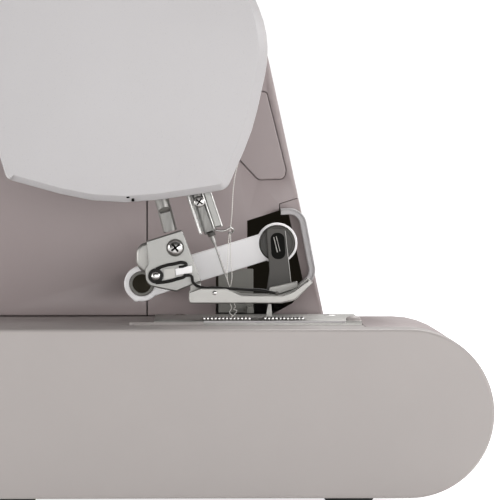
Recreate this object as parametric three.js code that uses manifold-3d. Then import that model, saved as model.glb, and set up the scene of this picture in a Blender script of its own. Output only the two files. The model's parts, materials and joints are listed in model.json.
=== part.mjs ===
// Serger (overlock) sewing machine, in millimetres. X runs to the operator's right, Y to the back, Z up.
// The origin lies under the middle of the machine, on the surface it stands on.
import * as THREE from 'three';
import { mergeVertices } from 'three/addons/utils/BufferGeometryUtils.js';
import Module from 'manifold-3d';

const wasm = await Module();
wasm.setup();

// ---- driving dimensions -------------------------------------------------------------------------
const GAP = 0.3; // air left between neighbours
const WALL = 3; // moulded housing wall

const BED_LEFT = -170; // outer face of the bed's left end
const BED_RIGHT = 150;
const BED_DEPTH = 260;
const BED_BOTTOM = 6;
const BED_TOP = 76;
const BED_RADIUS = (BED_TOP - BED_BOTTOM) / 2; // the front and back edges are full rounds
const BED_MID_Z = BED_BOTTOM + BED_RADIUS;
const BED_CENTRE_Y = BED_DEPTH / 2 - BED_RADIUS;
const END_COVER_X = -152; // where the left end cover meets the housing

const BODY_LEFT = -58;
const BODY_FRONT_Y = -64.4; // front foot of the upper body, on the bed
const BODY_BACK_Y = 92;
const BODY_TOP = 272;
const LEAN_LOW = Math.tan(THREE.MathUtils.degToRad(12.2));
const LEAN_HIGH = Math.tan(THREE.MathUtils.degToRad(21));
const KNEE_Z = 194; // where the front face leans back further
const SEAM_Y = 14.7; // vertical joint between the front and rear covers
const SEAM_WIDTH = 0.6;
const DOOR_RIGHT = 60;
const DOOR_SEAM_Y = -77.7;
const DECK_TOP = 64; // the bed's top in front of the upper body, lower than beside it
const DECK_BACK_Y = -61.1;
const DECK_INSET = 0.4; // from the step's side to the cover's part of the lower deck

const HEAD_LEFT = -150;
const HEAD_CAP_X = -128;
const NEEDLE_X = -120;
const PLATE_TOP = 77.8;

const NEEDLE_TILT = THREE.MathUtils.degToRad(18.5);
const NEEDLE_CLAMP = { y: -13.2, z: 113.6 }; // where the needles leave the clamp
const PRESSER_TILT = THREE.MathUtils.degToRad(15);
const PRESSER_BAR = { y: 7.7, z: 128.7 };

const KNIFE_PIVOT = { y: 16.5, z: 92.4 };
const KNIFE_HEAD = { y: -42, z: 109.9 };
const KNIFE_ARM_X = [-104.3, -99.3];

const SHAFT = { y: 20, z: 100 };
const MOTOR = { y: 52, z: 185 };
const PULLEY_X = [30, 39];
const SHAFT_PULLEY_RADIUS = 28;
const MOTOR_PULLEY_RADIUS = 9;

const DIAL_RADIUS = 19;
const DIAL_WIDTH = 13;
const DIAL_X = [-15, 25, 65, 105];
const DIAL_Z = 238; // height on the fascia
const DIAL_SINK = 10; // how far each dial's centre lies behind the fascia

const TRAY_BACK_Y = 166;
const TRAY_Z = [158, 163];
const SPOOL_X = [-80, -14, 52, 118];
const SPOOL_Y = 130;
const MAST = { x: 19, y: 104 };
const MAST_TOP = 292;
const SIDE = 18; // segments round small cylinders
const FAR = 400; // a cutting block's reach, past every part

// ---- materials ----------------------------------------------------------------------------------
function material(color, roughness, metalness) {
  return new THREE.MeshStandardMaterial({ color, roughness, metalness });
}
const taupe = material(0x988d8b, 0.45, 0);
const bedGrey = material(0xb0aba8, 0.45, 0);
const white = material(0xd6d2d2, 0.35, 0);
const steel = material(0xc2bfba, 0.3, 1);
const castGrey = material(0x77756f, 0.5, 1);
const darkSteel = material(0x4c4946, 0.4, 1);
const black = material(0x191715, 0.5, 0);
const rubber = material(0x262626, 0.9, 0);
const thread = material(0xe8e0da, 0.8, 0);

// ---- geometry helpers ---------------------------------------------------------------------------
function toSolid(geometry) {
  const bare = geometry.clone();
  bare.deleteAttribute('normal');
  bare.deleteAttribute('uv');
  const merged = mergeVertices(bare, 1e-4);
  return new wasm.Manifold(new wasm.Mesh({
    numProp: 3,
    vertProperties: new Float32Array(merged.attributes.position.array),
    triVerts: new Uint32Array(merged.index.array),
  }));
}

function toGeometry(solid) {
  const mesh = solid.getMesh();
  const geometry = new THREE.BufferGeometry();
  geometry.setAttribute('position', new THREE.BufferAttribute(mesh.vertProperties, 3));
  geometry.setIndex(new THREE.BufferAttribute(mesh.triVerts, 1));
  geometry.computeVertexNormals();
  return geometry;
}

function join(first, ...others) {
  return others.reduce((sum, other) => sum.add(other), first);
}

function cut(first, ...others) {
  return others.reduce((rest, other) => rest.subtract(other), first);
}

// An outline from [a, b, radius] corners, with a true arc at each corner that has a radius.
function outline(corners) {
  const shape = new THREE.Shape();
  corners.forEach(([a, b, radius = 0], i) => {
    const corner = new THREE.Vector2(a, b);
    const previous = corners[(i + corners.length - 1) % corners.length];
    const next = corners[(i + 1) % corners.length];
    const toPrevious = new THREE.Vector2(previous[0] - a, previous[1] - b).normalize();
    const toNext = new THREE.Vector2(next[0] - a, next[1] - b).normalize();
    const half = Math.acos(THREE.MathUtils.clamp(toPrevious.dot(toNext), -1, 1)) / 2;
    const start = corner.clone().addScaledVector(toPrevious, radius / Math.tan(half));
    if (i === 0) shape.moveTo(start.x, start.y);
    else shape.lineTo(start.x, start.y);
    if (radius > 0) {
      const bisector = toPrevious.clone().add(toNext).normalize();
      const centre = corner.clone().addScaledVector(bisector, radius / Math.sin(half));
      const end = corner.clone().addScaledVector(toNext, radius / Math.tan(half));
      const clockwise = toPrevious.cross(toNext) > 0;
      shape.absarc(centre.x, centre.y, radius, start.sub(centre).angle(), end.sub(centre).angle(), clockwise);
    }
  });
  shape.closePath();
  return shape;
}

// The corners of a counter-clockwise outline moved inwards by a distance.
function inset(corners, distance) {
  return corners.map(([a, b, radius = 0], i) => {
    const corner = new THREE.Vector2(a, b);
    const previous = corners[(i + corners.length - 1) % corners.length];
    const next = corners[(i + 1) % corners.length];
    const before = new THREE.Vector2(a - previous[0], b - previous[1]).normalize();
    const after = new THREE.Vector2(next[0] - a, next[1] - b).normalize();
    const inward = new THREE.Vector2(-before.y - after.y, before.x + after.x).normalize();
    const stretch = distance / inward.dot(new THREE.Vector2(-before.y, before.x));
    corner.addScaledVector(inward, stretch);
    return [corner.x, corner.y, Math.max(radius - distance, 0)];
  });
}

const ALONG_X = new THREE.Matrix4().makeBasis(
  new THREE.Vector3(0, 1, 0), new THREE.Vector3(0, 0, 1), new THREE.Vector3(1, 0, 0));
const ALONG_Y = new THREE.Matrix4().makeRotationX(Math.PI / 2);

// A shape drawn in (Y, Z) and run along X. A bevel rounds the edges of both ends.
function prismX(shape, x0, x1, bevel = 0, curveSegments = 3) {
  const geometry = new THREE.ExtrudeGeometry(shape, {
    depth: x1 - x0 - 2 * bevel,
    curveSegments,
    bevelEnabled: bevel > 0,
    bevelSize: bevel,
    bevelThickness: bevel,
    bevelOffset: -bevel,
    bevelSegments: 2,
  });
  geometry.translate(0, 0, bevel);
  geometry.applyMatrix4(ALONG_X);
  geometry.translate(x0, 0, 0);
  return toSolid(geometry);
}

// A shape drawn in (X, Z) and run along Y.
function prismY(shape, y0, y1) {
  const settings = { depth: y1 - y0, curveSegments: 3, bevelEnabled: false };
  const geometry = new THREE.ExtrudeGeometry(shape, settings);
  geometry.applyMatrix4(ALONG_Y);
  geometry.translate(0, y1, 0);
  return toSolid(geometry);
}

function box(x0, x1, y0, y1, z0, z1) {
  const geometry = new THREE.BoxGeometry(x1 - x0, y1 - y0, z1 - z0);
  geometry.translate((x0 + x1) / 2, (y0 + y1) / 2, (z0 + z1) / 2);
  return toSolid(geometry);
}

function rodX(radius, x0, x1, y, z, segments = SIDE) {
  const geometry = new THREE.CylinderGeometry(radius, radius, x1 - x0, segments);
  geometry.rotateZ(Math.PI / 2);
  geometry.translate((x0 + x1) / 2, y, z);
  return toSolid(geometry);
}

function rodZ(radius, x, y, z0, z1, segments = SIDE) {
  const geometry = new THREE.CylinderGeometry(radius, radius, z1 - z0, segments);
  geometry.rotateX(Math.PI / 2);
  geometry.translate(x, y, (z0 + z1) / 2);
  return toSolid(geometry);
}

// A profile of [radius, height] points turned about Z.
function turned(profile, segments = SIDE) {
  const geometry = new THREE.LatheGeometry(profile.map(([r, z]) => new THREE.Vector2(r, z)), segments);
  geometry.rotateX(Math.PI / 2);
  return toSolid(geometry);
}

function tube(points, radius, steps, sides = 3) {
  const path = new THREE.CatmullRomCurve3(points.map((p) => new THREE.Vector3(...p)));
  const section = new THREE.Shape();
  section.absarc(0, 0, radius, 0, 2 * Math.PI, false);
  return new THREE.ExtrudeGeometry(section, { steps, curveSegments: sides, extrudePath: path });
}

function circle(radius, y = 0, z = 0) {
  const shape = new THREE.Shape();
  shape.absarc(y, z, radius, 0, 2 * Math.PI, false);
  return shape;
}

// ---- the scene ----------------------------------------------------------------------------------
const machine = new THREE.Group();

function add(name, shape, look, parent = machine) {
  const geometry = shape.isBufferGeometry ? shape : toGeometry(shape);
  const mesh = new THREE.Mesh(geometry, look);
  mesh.name = name;
  parent.add(mesh);
  return mesh;
}

// ---- bed and feet -------------------------------------------------------------------------------
function stadium(margin) {
  const shape = new THREE.Shape();
  const radius = BED_RADIUS - margin;
  shape.absarc(BED_CENTRE_Y, BED_MID_Z, radius, -Math.PI / 2, Math.PI / 2, false);
  shape.absarc(-BED_CENTRE_Y, BED_MID_Z, radius, Math.PI / 2, 1.5 * Math.PI, false);
  shape.closePath();
  return shape;
}

const BED_SEGMENTS = 10;
const BED_FILLET = 2.5;

const bedEndCover = prismX(stadium(0), BED_LEFT, END_COVER_X + 12, BED_FILLET, BED_SEGMENTS)
  .subtract(box(END_COVER_X, FAR, -FAR, FAR, 0, FAR))
  .subtract(prismX(stadium(WALL), BED_LEFT + WALL, END_COVER_X + 1, 0, BED_SEGMENTS));
add('bed_end_cover', bedEndCover, bedGrey);

// What is taken off the top of the bed in front of the upper body, or off its inside.
function deckRegion(wall) {
  return box(BODY_LEFT - wall, FAR, -FAR, DECK_BACK_Y + wall, DECK_TOP - wall, FAR);
}
const baseInside = prismX(stadium(WALL), END_COVER_X - 1, BED_RIGHT - WALL - 1, 0, BED_SEGMENTS)
  .subtract(deckRegion(WALL));
const baseShell = prismX(stadium(0), END_COVER_X - 12, BED_RIGHT, BED_FILLET, BED_SEGMENTS)
  .subtract(box(-FAR, END_COVER_X + GAP, -FAR, FAR, 0, FAR))
  .subtract(deckRegion(0))
  .subtract(baseInside);

const BOTTOM_PLATE = { x: 140, y: 88 };
const NEEDLE_PLATE = { x0: -137, x1: -74, y0: -77, y1: 11 };

// ---- upper body shell ---------------------------------------------------------------------------
function frontY(z) {
  const low = BODY_FRONT_Y + (Math.min(z, KNEE_Z) - BED_TOP) * LEAN_LOW;
  return low + Math.max(z - KNEE_Z, 0) * LEAN_HIGH;
}

function bodyOutline(margin, bottom) {
  return outline([
    [frontY(bottom) + margin, bottom, 0],
    [BODY_BACK_Y - margin, bottom, 0],
    [BODY_BACK_Y - margin, BODY_TOP - margin, 16 - margin],
    [frontY(BODY_TOP) + margin, BODY_TOP - margin, 12 - margin],
    [frontY(KNEE_Z) + margin, KNEE_Z, 60],
  ]);
}

const skirt = prismX(outline([ // the front wall where it reaches down to the lower deck
  [frontY(DECK_TOP + GAP), DECK_TOP + GAP],
  [frontY(DECK_TOP + GAP) + WALL, DECK_TOP + GAP],
  [frontY(BED_TOP + 1) + WALL, BED_TOP + 1],
  [frontY(BED_TOP + 1), BED_TOP + 1],
]), BODY_LEFT + GAP, BED_RIGHT);
const bodyShell = prismX(bodyOutline(0, BED_TOP + GAP), BODY_LEFT, BED_RIGHT, 1.2)
  .subtract(prismX(bodyOutline(WALL, BED_TOP - 16), BODY_LEFT + WALL, BED_RIGHT - WALL))
  .add(skirt);

// ---- looper cover: the front door of the bed and lower body -----------------------------------
const DOOR_INNER = END_COVER_X + 2 * GAP;
const HINGE_ANGLE = THREE.MathUtils.degToRad(60);
const DOOR_HINGE = {
  y: -BED_CENTRE_Y - BED_RADIUS * Math.cos(HINGE_ANGLE),
  z: BED_MID_Z - BED_RADIUS * Math.sin(HINGE_ANGLE),
};
const DOOR_WALL_DEPTH = 6;
const DOOR_TOP = { y: -44.6, z: 126.2, slope: 0.324 }; // the cover's top seam rises towards the front
function doorTopZ(y) {
  return DOOR_TOP.z + (DOOR_TOP.y - y) * DOOR_TOP.slope;
}
const DOOR_LEFT_SIDE = [ // the thin side wall in front of the knife opening, in (Y, Z)
  [DOOR_TOP.y, DOOR_TOP.z], [-75, doorTopZ(-75)], [-85, 62], [-42, 62], [-42, 77.3], [-50.3, 81.9],
  [-57, 90], [-57.5, 96], [-57, 102], [-54, 118], [-51, 121.5], [-44.8, 123.9],
];

function doorRegions(grow) {
  const past = 40; // well past the housing
  const bed = prismX(outline([
    [DOOR_SEAM_Y + grow, BED_TOP + past],
    [-200, BED_TOP + past],
    [-200, -past],
    [DOOR_HINGE.y - past * Math.cos(HINGE_ANGLE) + grow, DOOR_HINGE.z - past * Math.sin(HINGE_ANGLE)],
    [-BED_CENTRE_Y + grow, BED_MID_Z],
    [DOOR_SEAM_Y + grow, BED_MID_Z],
  ]), DOOR_INNER - 5 * grow, DOOR_RIGHT + grow);
  const stepLeft = BODY_LEFT + DECK_INSET - grow;
  const stepBack = BODY_FRONT_Y + WALL + grow;
  const step = box(stepLeft, DOOR_RIGHT + grow, DOOR_SEAM_Y - 1, stepBack, 60, BED_TOP + 0.1);
  const behind = DOOR_WALL_DEPTH + grow; // takes in the front wall and no more
  const front = prismX(outline([
    [frontY(DOOR_TOP.z) + behind, doorTopZ(frontY(DOOR_TOP.z) + behind) + grow],
    [-past * 2, doorTopZ(-past * 2) + grow],
    [-past * 2, 60],
    [frontY(60) + behind, 60],
  ]), BODY_LEFT + WALL - 0.01, DOOR_RIGHT + grow);
  return { bed, step, front };
}

const door = doorRegions(0);
const doorGap = doorRegions(GAP);
const doorSide = prismX(outline(DOOR_LEFT_SIDE), BODY_LEFT - 1, BODY_LEFT + WALL);
const DECK_FOOT_Y = frontY(DECK_TOP);
const kneeStrip = prismX(outline([ // joins the front wall to the deck
  [DECK_FOOT_Y + 0.6, DECK_TOP - 1.5],
  [DECK_FOOT_Y + WALL, DECK_TOP - 1.5],
  [DECK_FOOT_Y + WALL + 0.6, DECK_TOP + 3],
  [DECK_FOOT_Y + 1.4, DECK_TOP + 3],
]), BODY_LEFT + 1, DOOR_RIGHT);
const looperCover = join(
  baseShell.intersect(join(door.bed, door.step)),
  bodyShell.intersect(join(door.front, doorSide)),
  kneeStrip,
);
add('looper_cover', looperCover, taupe);

const RIM = [ // middle line of the lip round the knife opening, in (Y, Z)
  [-45.5, 122.6], [-49.6, 122.0], [-53.2, 119.6], [-55.2, 114.6], [-57.2, 104.0], [-57.6, 97.5],
  [-55.6, 92.6], [-50.4, 87.4], [-46, 84],
];
const RIM_X = -62.3;
const RIM_HALF_WIDTH = 3.9;
const RIM_HALF_THICKNESS = 1.4;
const rimPath = new THREE.CatmullRomCurve3(RIM.map(([y, z]) => new THREE.Vector3(RIM_X, y, z)));
// A flat strip on edge that follows a path, with its long side along X.
function stripAlong(path, halfX, halfThickness, steps) {
  const points = path.getSpacedPoints(steps);
  const side = [];
  const other = [];
  points.forEach((p, i) => {
    const tangent = path.getTangentAt(i / steps);
    side.push([p.y - tangent.z * halfThickness, p.z + tangent.y * halfThickness]);
    other.push([p.y + tangent.z * halfThickness, p.z - tangent.y * halfThickness]);
  });
  return prismX(outline([...side, ...other.reverse()]), points[0].x - halfX, points[0].x + halfX);
}
add('knife_opening_rim', stripAlong(rimPath, RIM_HALF_WIDTH, RIM_HALF_THICKNESS, 20), white);

// ---- front and rear covers, fascia and side panel -------------------------------------------------
const FASCIA = { x0: -48, x1: 140, z0: 134, z1: 256 };
const fasciaRegion = (grow) => box(FASCIA.x0 - grow, FASCIA.x1 + grow, -90, 6,
  FASCIA.z0 - grow, FASCIA.z1 + grow);

const SIDE_PANEL = [
  [-22, 176, 1], [-38.6, 176.5, 2], [-47.4, 141.4, 1], [-46.6, 137.4, 2.5], [-35, 137, 3], [-26.8, 145.7, 3],
  [-22, 155, 2],
];
const SIDE_PANEL_PROUD = 0.3;
const SIDE_PANEL_SINK = 2.6;
function sidePanelRegion(grow) {
  return prismX(outline(inset(SIDE_PANEL, -grow)), BODY_LEFT - 1, BODY_LEFT + WALL - 0.01);
}
const sidePanel = prismX(outline(SIDE_PANEL), BODY_LEFT - SIDE_PANEL_PROUD, BODY_LEFT + SIDE_PANEL_SINK);

const KNIFE_OPENING = [
  [-16, 60], [-16, 97], [-30, 97], [-30, 118.8], [-44.3, 123.4], [-44.3, 130], [-80, 140], [-80, 60],
];
const knifeOpening = prismX(outline(KNIFE_OPENING), BODY_LEFT - 1, BODY_LEFT + WALL);
const doorSideSeam = prismX(outline([
  [-44.3, 120], [-44.3, 126.6], [-80, 138.2], [-80, 60], [-44.3, 60],
]), BODY_LEFT - 1, BODY_LEFT + WALL);
const wallAboveSeam = prismX(outline([
  [-30, doorTopZ(-30) + GAP], [-80, doorTopZ(-80) + GAP], [-80, 180], [-30, 180],
]), BODY_LEFT - 2, BODY_LEFT + WALL + 1);

const headPassage = box(BODY_LEFT - 1, BODY_LEFT + WALL + 1, -10, 45, 150, 205);
const KNIFE_SHAFT_RADIUS = 5.2;
const KNIFE_SHAFT_BORE = 4.1;
const MAIN_SHAFT_RADIUS = 6;
const throughWall = [BODY_LEFT - 1, BODY_LEFT + WALL + 1];
const knifeShaftHole = rodX(KNIFE_SHAFT_RADIUS + 1, ...throughWall, KNIFE_PIVOT.y, KNIFE_PIVOT.z);
const mainShaftHole = rodX(MAIN_SHAFT_RADIUS + 2, BED_RIGHT - WALL - 1, BED_RIGHT + 1, SHAFT.y, SHAFT.z);
const frontHalf = box(-FAR, FAR, -FAR, SEAM_Y - SEAM_WIDTH / 2, 0, FAR);
const rearHalf = box(-FAR, FAR, SEAM_Y + SEAM_WIDTH / 2, FAR, 0, FAR);

const leftWallOpening = knifeOpening.subtract(wallAboveSeam).add(doorSideSeam.subtract(wallAboveSeam));
const frontCover = cut(
  bodyShell.intersect(frontHalf),
  fasciaRegion(GAP),
  doorGap.front,
  leftWallOpening,
  sidePanelRegion(GAP),
  headPassage,
  knifeShaftHole,
  mainShaftHole,
);
add('front_cover', frontCover, taupe);
add('side_panel', sidePanel, taupe);

const LUG_SPREAD = 58; // half the distance between the handle's lugs
const HANDLE = { x: (BODY_LEFT + BED_RIGHT) / 2, pivotY: 34, z: BODY_TOP + 6, backY: 72 };
const LUG_HALF = 3; // half a lug's thickness
const HANDLE_PIN_RADIUS = 2.5;
function handleLug(x) {
  const across = [HANDLE.pivotY - 5, HANDLE.pivotY + 5];
  const lug = box(x - LUG_HALF, x + LUG_HALF, ...across, BODY_TOP - 2, HANDLE.z + 4);
  return lug.subtract(rodX(HANDLE_PIN_RADIUS + GAP, x - 4, x + 4, HANDLE.pivotY, HANDLE.z));
}
const rearCover = join(
  cut(bodyShell.intersect(rearHalf), headPassage, knifeShaftHole, mainShaftHole),
  handleLug(HANDLE.x - LUG_SPREAD),
  handleLug(HANDLE.x + LUG_SPREAD),
);
add('rear_cover', rearCover, taupe);

// ---- tension dials ----------------------------------------------------------------------------------
const leanAngle = Math.atan(LEAN_HIGH);
const DIAL = {
  y: frontY(DIAL_Z) + DIAL_SINK * Math.cos(leanAngle),
  z: DIAL_Z - DIAL_SINK * Math.sin(leanAngle),
};
const DIAL_CLEARANCE = 0.7;
const dialSlotHalf = DIAL_WIDTH / 2 + 0.6;
const dialSlots = DIAL_X.map((x) => (
  rodX(DIAL_RADIUS + DIAL_CLEARANCE, x - dialSlotHalf, x + dialSlotHalf, DIAL.y, DIAL.z, 40)));
add('front_fascia', cut(bodyShell.intersect(fasciaRegion(0)), ...dialSlots), white);

const RIB_DEPTH = 0.9;
// A thumbwheel with a grooved rim, turning about X.
function ribbedWheel(radius, width, ribs) {
  const shape = new THREE.Shape();
  for (let i = 0; i < ribs * 2; i += 1) {
    const angle = (i / (ribs * 2)) * 2 * Math.PI;
    const r = i % 2 ? radius - RIB_DEPTH : radius;
    if (i === 0) shape.moveTo(r * Math.cos(angle), r * Math.sin(angle));
    else shape.lineTo(r * Math.cos(angle), r * Math.sin(angle));
  }
  shape.closePath();
  return prismX(shape, -width / 2, width / 2);
}
DIAL_X.forEach((x, i) => {
  const dial = add(`tension_dial_${i + 1}`, ribbedWheel(DIAL_RADIUS, DIAL_WIDTH, 18), white);
  dial.position.set(x, DIAL.y, DIAL.z);
});

// ---- bed housing, bottom plate, feet, needle plate -------------------------------------------------
const SWITCH = { y: 84, z: 41 };
const INLET = { y0: 36, y1: 66, z0: 29, z1: 53 };
const BODY_PASSAGE = { x0: -52, x1: 140, y0: -50, y1: 84 }; // open between the bed and the upper body
function wellInTop({ x0, x1, y0, y1 }, margin) {
  return box(x0 - margin, x1 + margin, y0 - margin, y1 + margin, BED_TOP - 6, BED_TOP + 4);
}
const baseHousing = cut(
  baseShell,
  doorGap.bed,
  doorGap.step,
  box(-BOTTOM_PLATE.x, BOTTOM_PLATE.x, -BOTTOM_PLATE.y, BOTTOM_PLATE.y, 0, BED_BOTTOM + WALL + 1),
  wellInTop(NEEDLE_PLATE, GAP),
  wellInTop(BODY_PASSAGE, 0),
  box(BED_RIGHT - 8, BED_RIGHT + 1, SWITCH.y - 7, SWITCH.y + 7, SWITCH.z - 11, SWITCH.z + 11),
  box(BED_RIGHT - 8, BED_RIGHT + 1, INLET.y0 - GAP, INLET.y1 + GAP, INLET.z0 - GAP, INLET.z1 + GAP),
);
add('base_housing', baseHousing, bedGrey);
const bottomX = BOTTOM_PLATE.x - GAP;
const bottomY = BOTTOM_PLATE.y - GAP;
add('bottom_plate', box(-bottomX, bottomX, -bottomY, bottomY, BED_BOTTOM + 0.5, BED_BOTTOM + 2.8), darkSteel);

const FEET = [[-125, -72], [-125, 72], [125, -72], [125, 72]];
FEET.forEach(([x, y], i) => {
  const foot = turned([[0, 0], [9, 0], [10.5, 1], [9.5, 6.2], [0, 6.2]]);
  add(`foot_${i + 1}`, foot.translate([x, y, 0]), rubber);
});

const FEED_ROWS = [[-131.5, -128.7], [-112.3, -109.5]];
const MAIN_DOG = { front: -30.3, back: -9.4, bridge: [-14.9, -10.3] };
const DIFFERENTIAL_DOG = { front: -53, back: -35.4, bridge: [-52.9, -48.1] };
const TOOTH_PITCH = 1.6;
const TOOTH_HEIGHT = 1.4;
const TOOTH_LEAN = 0.35; // how far a tooth's tip lies from its upright side, in pitches
const DOG_BASE_Z = [67, 69, 70.5]; // the bridge's underside, the bars' underside, the bridge's top
const PLATE_UNDERSIDE = 74.6;
const NEEDLE_SLOT = { x0: -124, x1: -116, y0: -33, y1: -21.5 };
const CHAIN_SLOT = { x0: -107.6, x1: -105, y0: -50, y1: -34 };
function plateSlot({ x0, x1, y0, y1 }) {
  return box(x0, x1, y0, y1, PLATE_UNDERSIDE - 1, PLATE_TOP + 1);
}
const dogSlots = FEED_ROWS.flatMap(([x0, x1]) => [MAIN_DOG, DIFFERENTIAL_DOG].map((dog) => (
  plateSlot({ x0: x0 - 0.6, x1: x1 + 0.6, y0: dog.front - 0.7, y1: dog.back + 0.7 }))));
const needlePlate = cut(
  box(NEEDLE_PLATE.x0, NEEDLE_PLATE.x1, NEEDLE_PLATE.y0, NEEDLE_PLATE.y1, PLATE_UNDERSIDE, PLATE_TOP),
  ...dogSlots,
  plateSlot(NEEDLE_SLOT),
  plateSlot(CHAIN_SLOT),
);
add('needle_plate', needlePlate, steel);

// A bar with saw teeth on top, joined to its twin by a bridge below the plate.
function feedDog(dog) {
  const teeth = Math.floor((dog.back - dog.front) / TOOTH_PITCH);
  const [bridgeLow, barLow, bridgeHigh] = DOG_BASE_Z;
  const corners = [[dog.front, barLow], [dog.front + teeth * TOOTH_PITCH, barLow]];
  for (let i = teeth; i > 0; i -= 1) {
    corners.push([dog.front + i * TOOTH_PITCH, PLATE_TOP]);
    corners.push([dog.front + (i - TOOTH_LEAN) * TOOTH_PITCH, PLATE_TOP + TOOTH_HEIGHT]);
  }
  corners.push([dog.front, PLATE_TOP]);
  const bars = FEED_ROWS.map(([x0, x1]) => prismX(outline(corners), x0, x1));
  const bridge = box(FEED_ROWS[0][0], FEED_ROWS[1][1], ...dog.bridge, bridgeLow, bridgeHigh);
  return join(...bars, bridge);
}
add('feed_dog_main', feedDog(MAIN_DOG), steel);
add('feed_dog_differential', feedDog(DIFFERENTIAL_DOG), steel);

// ---- head -----------------------------------------------------------------------------------------
const HEAD_OUTLINE = [ // counter-clockwise in (Y, Z), from the lower front corner
  [-19.6, 134, 5], [-4, 131.2, 60], [26, 126.6, 150], [72.5, 137.8, 4], [88.5, 190, 80], [77, 262, 40],
  [-8, 268, 22], [-38.9, 196, 46], [-30.5, 158, 90],
];
// The outline turns from the front corner along the bottom to the back, over the top and down the front.
const headCap = prismX(outline(HEAD_OUTLINE), HEAD_LEFT, HEAD_CAP_X + 8, 3.5, 4)
  .subtract(box(HEAD_CAP_X, FAR, -FAR, FAR, 0, FAR))
  .subtract(prismX(outline(inset(HEAD_OUTLINE, WALL)), HEAD_LEFT + WALL, HEAD_CAP_X + 1));
add('head_end_cap', headCap, white);

const HEAD_TUBE_INSET = 6; // the tube is this much smaller than the cap all round
const headTube = prismX(outline(inset(HEAD_OUTLINE, HEAD_TUBE_INSET)), HEAD_CAP_X + GAP, BODY_LEFT - GAP)
  .subtract(prismX(outline(inset(HEAD_OUTLINE, HEAD_TUBE_INSET + WALL)), HEAD_CAP_X - 1, BODY_LEFT + 1));
const barSlot = box(HEAD_CAP_X - 1, -108, -30, 26, 110, 146);
const LEVER = { y: 58, z: 160, x0: -96, x1: -89 };
const leverSlot = box(LEVER.x0 - 1, LEVER.x1 + 1, 50, 100, 125, 170);
add('head_shell', cut(headTube, barSlot, leverSlot), white);

// ---- needle bar group (tilted) --------------------------------------------------------------------
const needleGroup = new THREE.Group();
needleGroup.position.set(NEEDLE_X, NEEDLE_CLAMP.y, NEEDLE_CLAMP.z);
needleGroup.rotation.x = -NEEDLE_TILT;
machine.add(needleGroup);

const CLAMP_TOP = 22;
const CLAMP_SCREW = { y: 0.1, z: 15.6 };
const clamp = join(
  box(-5.5, 5.5, -3, 4.4, 1, CLAMP_TOP),
  box(-4.5, 4.5, -6, -2.9, 2.6, CLAMP_TOP - 2),
  toSolid(tube([[0, -4, 3.6], [0, -6, 2.6], [-1.2, -8.6, 3.4], [-1.4, -9.6, 1.6]], 0.5, 8)),
).subtract(box(-6, 6, -0.9, -0.5, 0, CLAMP_TOP - 8));
add('needle_clamp', clamp, steel, needleGroup);
const NEEDLE_BAR = { radius: 3.5, y: 0.7, top: 98 };
add('needle_clamp_screw', rodX(2.4, -7, -5.5 - GAP, CLAMP_SCREW.y, CLAMP_SCREW.z), steel, needleGroup);
const needleBar = rodZ(NEEDLE_BAR.radius, 0, NEEDLE_BAR.y, CLAMP_TOP + GAP, NEEDLE_BAR.top);
add('needle_bar', needleBar, steel, needleGroup);

const NEEDLES = { needle_left: { x: -2, tip: -25.6 }, needle_right: { x: 2, tip: -24.6 } };
Object.entries(NEEDLES).forEach(([name, needle]) => {
  const shankTop = 1 - GAP;
  const profile = [
    [0, needle.tip], [0.45, needle.tip + 3], [0.45, -4.5], [0.95, -3], [0.95, shankTop], [0, shankTop],
  ];
  const blade = turned(profile, 10).translate([needle.x, -0.4, 0]);
  add(name, blade, steel, needleGroup);
});

const THREADS = { needle_thread_left: -122.4, needle_thread_right: -119.2 };
const THREAD_ROUTE = [ // from the head's front down to the needle's eye, in (Y, Z)
  [-31.8, 186], [-29.6, 165], [-25.4, 147], [-22.6, 137.3], [-21.9, 117.5], [-21.6, 109.1], [-22.4, 97.5],
  [-22.6, 91.6],
];
Object.entries(THREADS).forEach(([name, x], i) => {
  const route = THREAD_ROUTE.map(([y, z]) => [x, y - 0.5 * i, z]);
  add(name, tube(route, 0.35, 14, 3), thread);
});

// ---- presser bar, ankle and foot ------------------------------------------------------------------
const presserGroup = new THREE.Group();
presserGroup.position.set(NEEDLE_X, PRESSER_BAR.y, PRESSER_BAR.z);
presserGroup.rotation.x = -PRESSER_TILT;
machine.add(presserGroup);
const PRESSER_ROD = { radius: 3, bottom: -13.8, top: 66 };
add('presser_bar', rodZ(PRESSER_ROD.radius, 0, 0, PRESSER_ROD.bottom, PRESSER_ROD.top), steel, presserGroup);

const ANKLE_X = [-126, -114.3];
const ankle = join(
  prismX(outline([
    [14.4, 111.1, 1], [15, 99.3, 6], [14.8, 94.8, 3], [9.8, 91.3, 3], [-9, 93.5, 0.6], [-1, 115.9, 1],
  ].reverse()), ANKLE_X[0], ANKLE_X[1]),
  prismX(circle(7, 11.8, 104.6), ANKLE_X[1] - 0.1, ANKLE_X[1] + 2.4, 0, 8),
);
add('presser_ankle', ankle, steel);
add('ankle_screw', rodX(3.3, ANKLE_X[0] - 2.2, ANKLE_X[0] - GAP, 2.05, 108.5), steel);
const RELEASE_PIN = { y: 10.4, z: 96.3 };
const WIRE_X = -130.6; // the wire's long leg passes on the open side of the needles
const releaseWire = tube([
  [-127.1, 8.2, 96.6], [-127.3, 2, 97.4], [-127.6, -4.3, 97], [-129, -5.6, 93.4], [WIRE_X, -8.4, 91.7],
  [WIRE_X, -22, 91.9], [WIRE_X, -37.6, 90.9], [WIRE_X, -41.2, 89.2],
], 0.65, 22);
add('release_spring', join(
  rodX(3.2, ANKLE_X[0] - 1.6, ANKLE_X[0] - GAP, RELEASE_PIN.y, RELEASE_PIN.z),
  rodX(2, ANKLE_X[0] - 2.2, ANKLE_X[0] - GAP, RELEASE_PIN.y, RELEASE_PIN.z),
  toSolid(releaseWire),
), black);

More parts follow.
